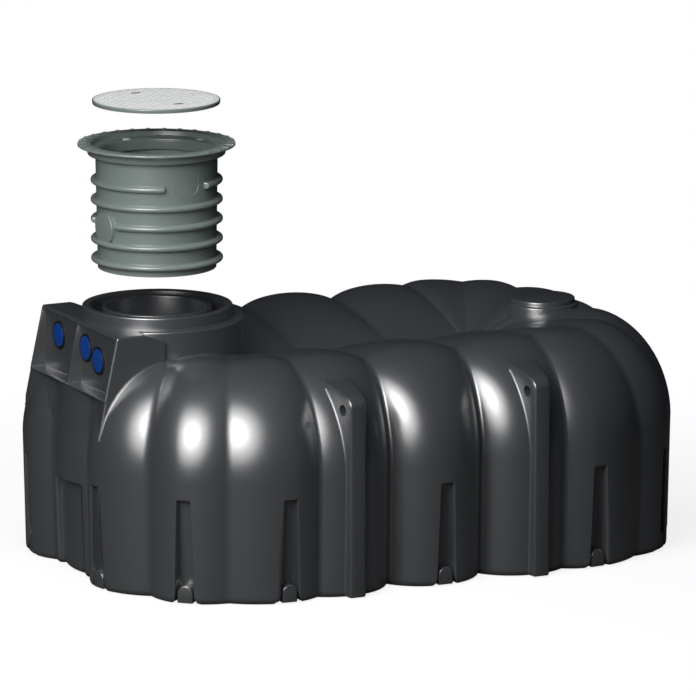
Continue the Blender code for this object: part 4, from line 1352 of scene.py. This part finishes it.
cover_tread = grow_pattern("cover_tread", tread_tree(), TREAD, (NECK_X, 0.0, COVER_FACE - TREAD_SINK))
cover_tread.data.shade_smooth()


# The key slots are not cut. A near-black pad in each stands in for the shade in its hollow: painted shade.
KEY_SLOT_LENGTH = 0.055
KEY_SLOT_WIDTH = 0.014
KEY_SLOT_STEPS = 24
# name, azimuth in degrees, radius
KEY_SLOTS = (("key_slot_far_shade", 97.0, 0.212), ("key_slot_near_shade", 282.5, 0.196))


def key_slot_shade(name, azimuth, radius):
    """A key slot in the cover, as a dark pad almost level with its top: painted shade where the slot's
    hollow would be.
    """
    turn = radians(azimuth)
    end = KEY_SLOT_WIDTH / 2
    outline = []
    for step in range(KEY_SLOT_STEPS):
        angle = 2 * pi * step / KEY_SLOT_STEPS
        shift = (KEY_SLOT_LENGTH / 2 - end) * (1 if cos(angle) > 0 else -1)
        x = NECK_X + radius * cos(turn) + cos(angle) * end + shift
        outline.append((x, radius * sin(turn) + sin(angle) * end))
    ends = [[(x, y, z) for x, y in outline] for z in (COVER_TOP - 0.0002, COVER_FACE - 0.003)]
    return prism(name, *ends)


key_slot_shades = [key_slot_shade(*values) for values in KEY_SLOTS]
print("cover:", len(cover_tread.data.polygons), "faces in its tread")

# %% [markdown]
# Every piece rides on one body of the CAD model, may stand in for some of its nodes, and has
# one slot, which is a kind of material. So one list says all of it.

# %% Paint the pieces and tie them to the CAD bodies
SLOT_MATERIALS = {
    "tank_black": black,
    "shaft_grey": grey_green,
    "cover_grey": cover_grey,
    "seal_rubber": rubber,
    "plug_blue": blue,
}
shell_nodes = [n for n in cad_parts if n.startswith(("wall_", "roof_", "floor_"))]
ties = [
    (tank_skin, "tank", shell_nodes, "tank_black"),
    (lining, "tank", [], "tank_black"),
    (neck_rings, "tank", ["neck_ring", "manway_ring"], "tank_black"),
    (boss, "tank", ["boss_cap"], "tank_black"),
    (block, "tank", ["inlet_collar"], "tank_black"),
    (fillets, "tank", [], "tank_black"),
    (shaft_body, "shaft", ["shaft_tube"], "shaft_grey"),
    (shaft_ring, "shaft", ["shaft_frame"], "shaft_grey"),
    (cover_disc, "cover", ["cover_plate"], "cover_grey"),
    (cover_tread, "cover", [], "cover_grey"),
    (cover_edge, "cover", ["cover_rim"], "shaft_grey"),
]
for number, (seal, plug) in enumerate(zip(seals, plugs), 1):
    ties.append((seal, "tank", ["pipe_seal_%d" % number], "seal_rubber"))
    ties.append((plug, "tank", ["seal_plug_%d" % number], "plug_blue"))
ties += [(lug, "tank", [name], "tank_black") for name, lug in lugs.items()]
ties += [(item, "shaft", [], "shaft_grey") for item in pads + [frame_marks, frame_teeth]]
# The latches take the cover's pale grey, lighter than the frame. This is partly their own colour and partly
# painted light, as they stand in the frame's shade.
ties += [(item, "shaft", [], "cover_grey") for item in latches]
# The key slots' pads take the rubber's near black as painted shade. They are no rubber parts.
ties += [(item, "cover", [], "seal_rubber") for item in key_slot_shades]
for item, body, nodes, slot in ties:
    paint(item, SLOT_MATERIALS[slot])
    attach(item, body)
    if nodes:
        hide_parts(*nodes)
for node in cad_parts.values():
    paint(node, black)
print("pieces:", len(ties))

# %% [markdown]
# The camera was solved from the circles of the neck, the shaft and the cover. The photo has
# hardly any perspective, so the camera stands far off with a very long lens.

# %% Camera at the photograph's viewing angle
CAMERA_YAW = 0.4515
CAMERA_PITCH = 0.2085
CAMERA_PLACE = (-16.0969, -33.1916, 8.8606)
PHOTO_PIXELS = 696
FOCAL_PIXELS = 7000
SENSOR_WIDTH = 36
camera_data = bpy.data.cameras.new("camera")
camera_data.lens = SENSOR_WIDTH * FOCAL_PIXELS / PHOTO_PIXELS
camera_data.sensor_width = SENSOR_WIDTH
camera_data.clip_end = 200
camera = new_object("camera", camera_data)
camera.location = CAMERA_PLACE
camera.rotation_euler = (pi / 2 - CAMERA_PITCH, 0, -CAMERA_YAW)
bpy.context.scene.camera = camera
print("camera at:", tuple(round(value, 2) for value in camera.location))

# %% [markdown]
# The photo stands on white with a soft shadow. To the camera the floor glows white away from
# the tank and less near it, where the shadow lies. Glossy rays get a dark floor and a nearly
# dark world instead, because a white room in the sheen turns black plastic grey.

# %% Floor and world
FLOOR_REACH = 16.0
FLOOR_GLOW = 0.84
WORLD_LIGHT = 0.07
WORLD_GLOSS = 0.02
SHADOW_NEAR = 1.6
SHADOW_FAR = 4.5
FLOOR_TO_DIFFUSE = "#606060"
FLOOR_TO_GLOSSY = "#3a3a3a"
FLOOR_TO_CAMERA = "#f4f4f4"
WORLD_TINT = "#c4cdf2"
floor_corners = [(-1, -1), (1, -1), (1, 1), (-1, 1)]
floor_mesh = bpy.data.meshes.new("floor")
floor_points = [(x * FLOOR_REACH, y * FLOOR_REACH, -0.001) for x, y in floor_corners]
floor_mesh.from_pydata(floor_points, [], [(0, 1, 2, 3)])
floor = new_object("floor", floor_mesh)
floor_material = bpy.data.materials.new("studio_floor_white")
floor_material.use_nodes = True
tree = floor_material.node_tree
shader = tree.nodes["Principled BSDF"]
shader.inputs["Roughness"].default_value = 0.9
shader.inputs["Specular IOR Level"].default_value = 0.1
place = add_node(tree, "ShaderNodeTexCoord")
distance = add_node(tree, "ShaderNodeVectorMath", {0: place.outputs["Object"]}, operation="LENGTH")
away = add_node(tree, "ShaderNodeMapRange", {
    "Value": distance.outputs["Value"], "From Min": SHADOW_NEAR, "From Max": SHADOW_FAR,
    "To Min": FLOOR_GLOW, "To Max": 1.0,
}, interpolation_type="SMOOTHSTEP")
rays = add_node(tree, "ShaderNodeLightPath")
seen = worked_out(tree, "MULTIPLY", rays.outputs["Is Camera Ray"], away.outputs["Result"])
bounced = mixed_colour(tree, rays.outputs["Is Glossy Ray"], srgb(FLOOR_TO_DIFFUSE), srgb(FLOOR_TO_GLOSSY))
shade = mixed_colour(tree, rays.outputs["Is Camera Ray"], bounced, srgb(FLOOR_TO_CAMERA))
tree.links.new(shade, shader.inputs["Base Color"])
glow = add_node(tree, "ShaderNodeEmission", {"Color": (1, 1, 1, 1), "Strength": 1.0})
mixed = add_node(tree, "ShaderNodeMixShader", {
    0: seen, 1: shader.outputs["BSDF"], 2: glow.outputs["Emission"],
})
tree.links.new(mixed.outputs["Shader"], tree.nodes["Material Output"].inputs["Surface"])
paint(floor, floor_material)

world = bpy.data.worlds.new("studio")
bpy.context.scene.world = world
world.use_nodes = True
tree = world.node_tree
for node in list(tree.nodes):
    tree.nodes.remove(node)
rays = add_node(tree, "ShaderNodeLightPath")
seen = worked_out(tree, "MAXIMUM", rays.outputs["Is Camera Ray"], rays.outputs["Is Transmission Ray"])
soft = add_node(tree, "ShaderNodeMapRange", {
    "Value": rays.outputs["Is Glossy Ray"], "To Min": WORLD_LIGHT, "To Max": WORLD_GLOSS,
})
strength = add_node(tree, "ShaderNodeMapRange", {
    "Value": seen, "To Min": soft.outputs["Result"], "To Max": 1.0,
})
tint = mixed_colour(tree, seen, srgb(WORLD_TINT), (1, 1, 1, 1))
background = add_node(tree, "ShaderNodeBackground", {"Color": tint, "Strength": strength.outputs[0]})
add_node(tree, "ShaderNodeOutputWorld", {"Surface": background.outputs[0]})

# %% [markdown]
# The key is two round lamps in almost one place, a wide one and a smaller core. Together they
# give the soft white patches of the photo a bright middle. The top lamp lights what faces up,
# and is hidden from glossy rays, because the photo has no second highlight.

# %% Lights
KEY_AIM = (-0.3, -0.4, 0.8)


def area_light(name, place, target, size, power):
    """A round lamp at a place, aimed at a target."""
    data = bpy.data.lights.new(name, "AREA")
    data.shape = "DISK"
    data.size = size
    data.energy = power
    light = new_object(name, data)
    light.location = place
    aim = Vector(target) - Vector(place)
    light.rotation_euler = aim.to_track_quat("-Z", "Y").to_euler()
    return light


area_light("key", (-7.5, -6.0, 6.4), KEY_AIM, 10.0, 940)
area_light("key_core", (-7.4, -5.9, 6.3), KEY_AIM, 4.5, 460)
top_light = area_light("top", (-1.6, -2.2, 8.5), (-0.5, 0, 1.0), 5.0, 380)
top_light.visible_glossy = False
bpy.context.scene.view_settings.view_transform = "Standard"

# %% [markdown]
# At the end the view layer is brought up to date.

# %% The end
bpy.context.view_layer.update()
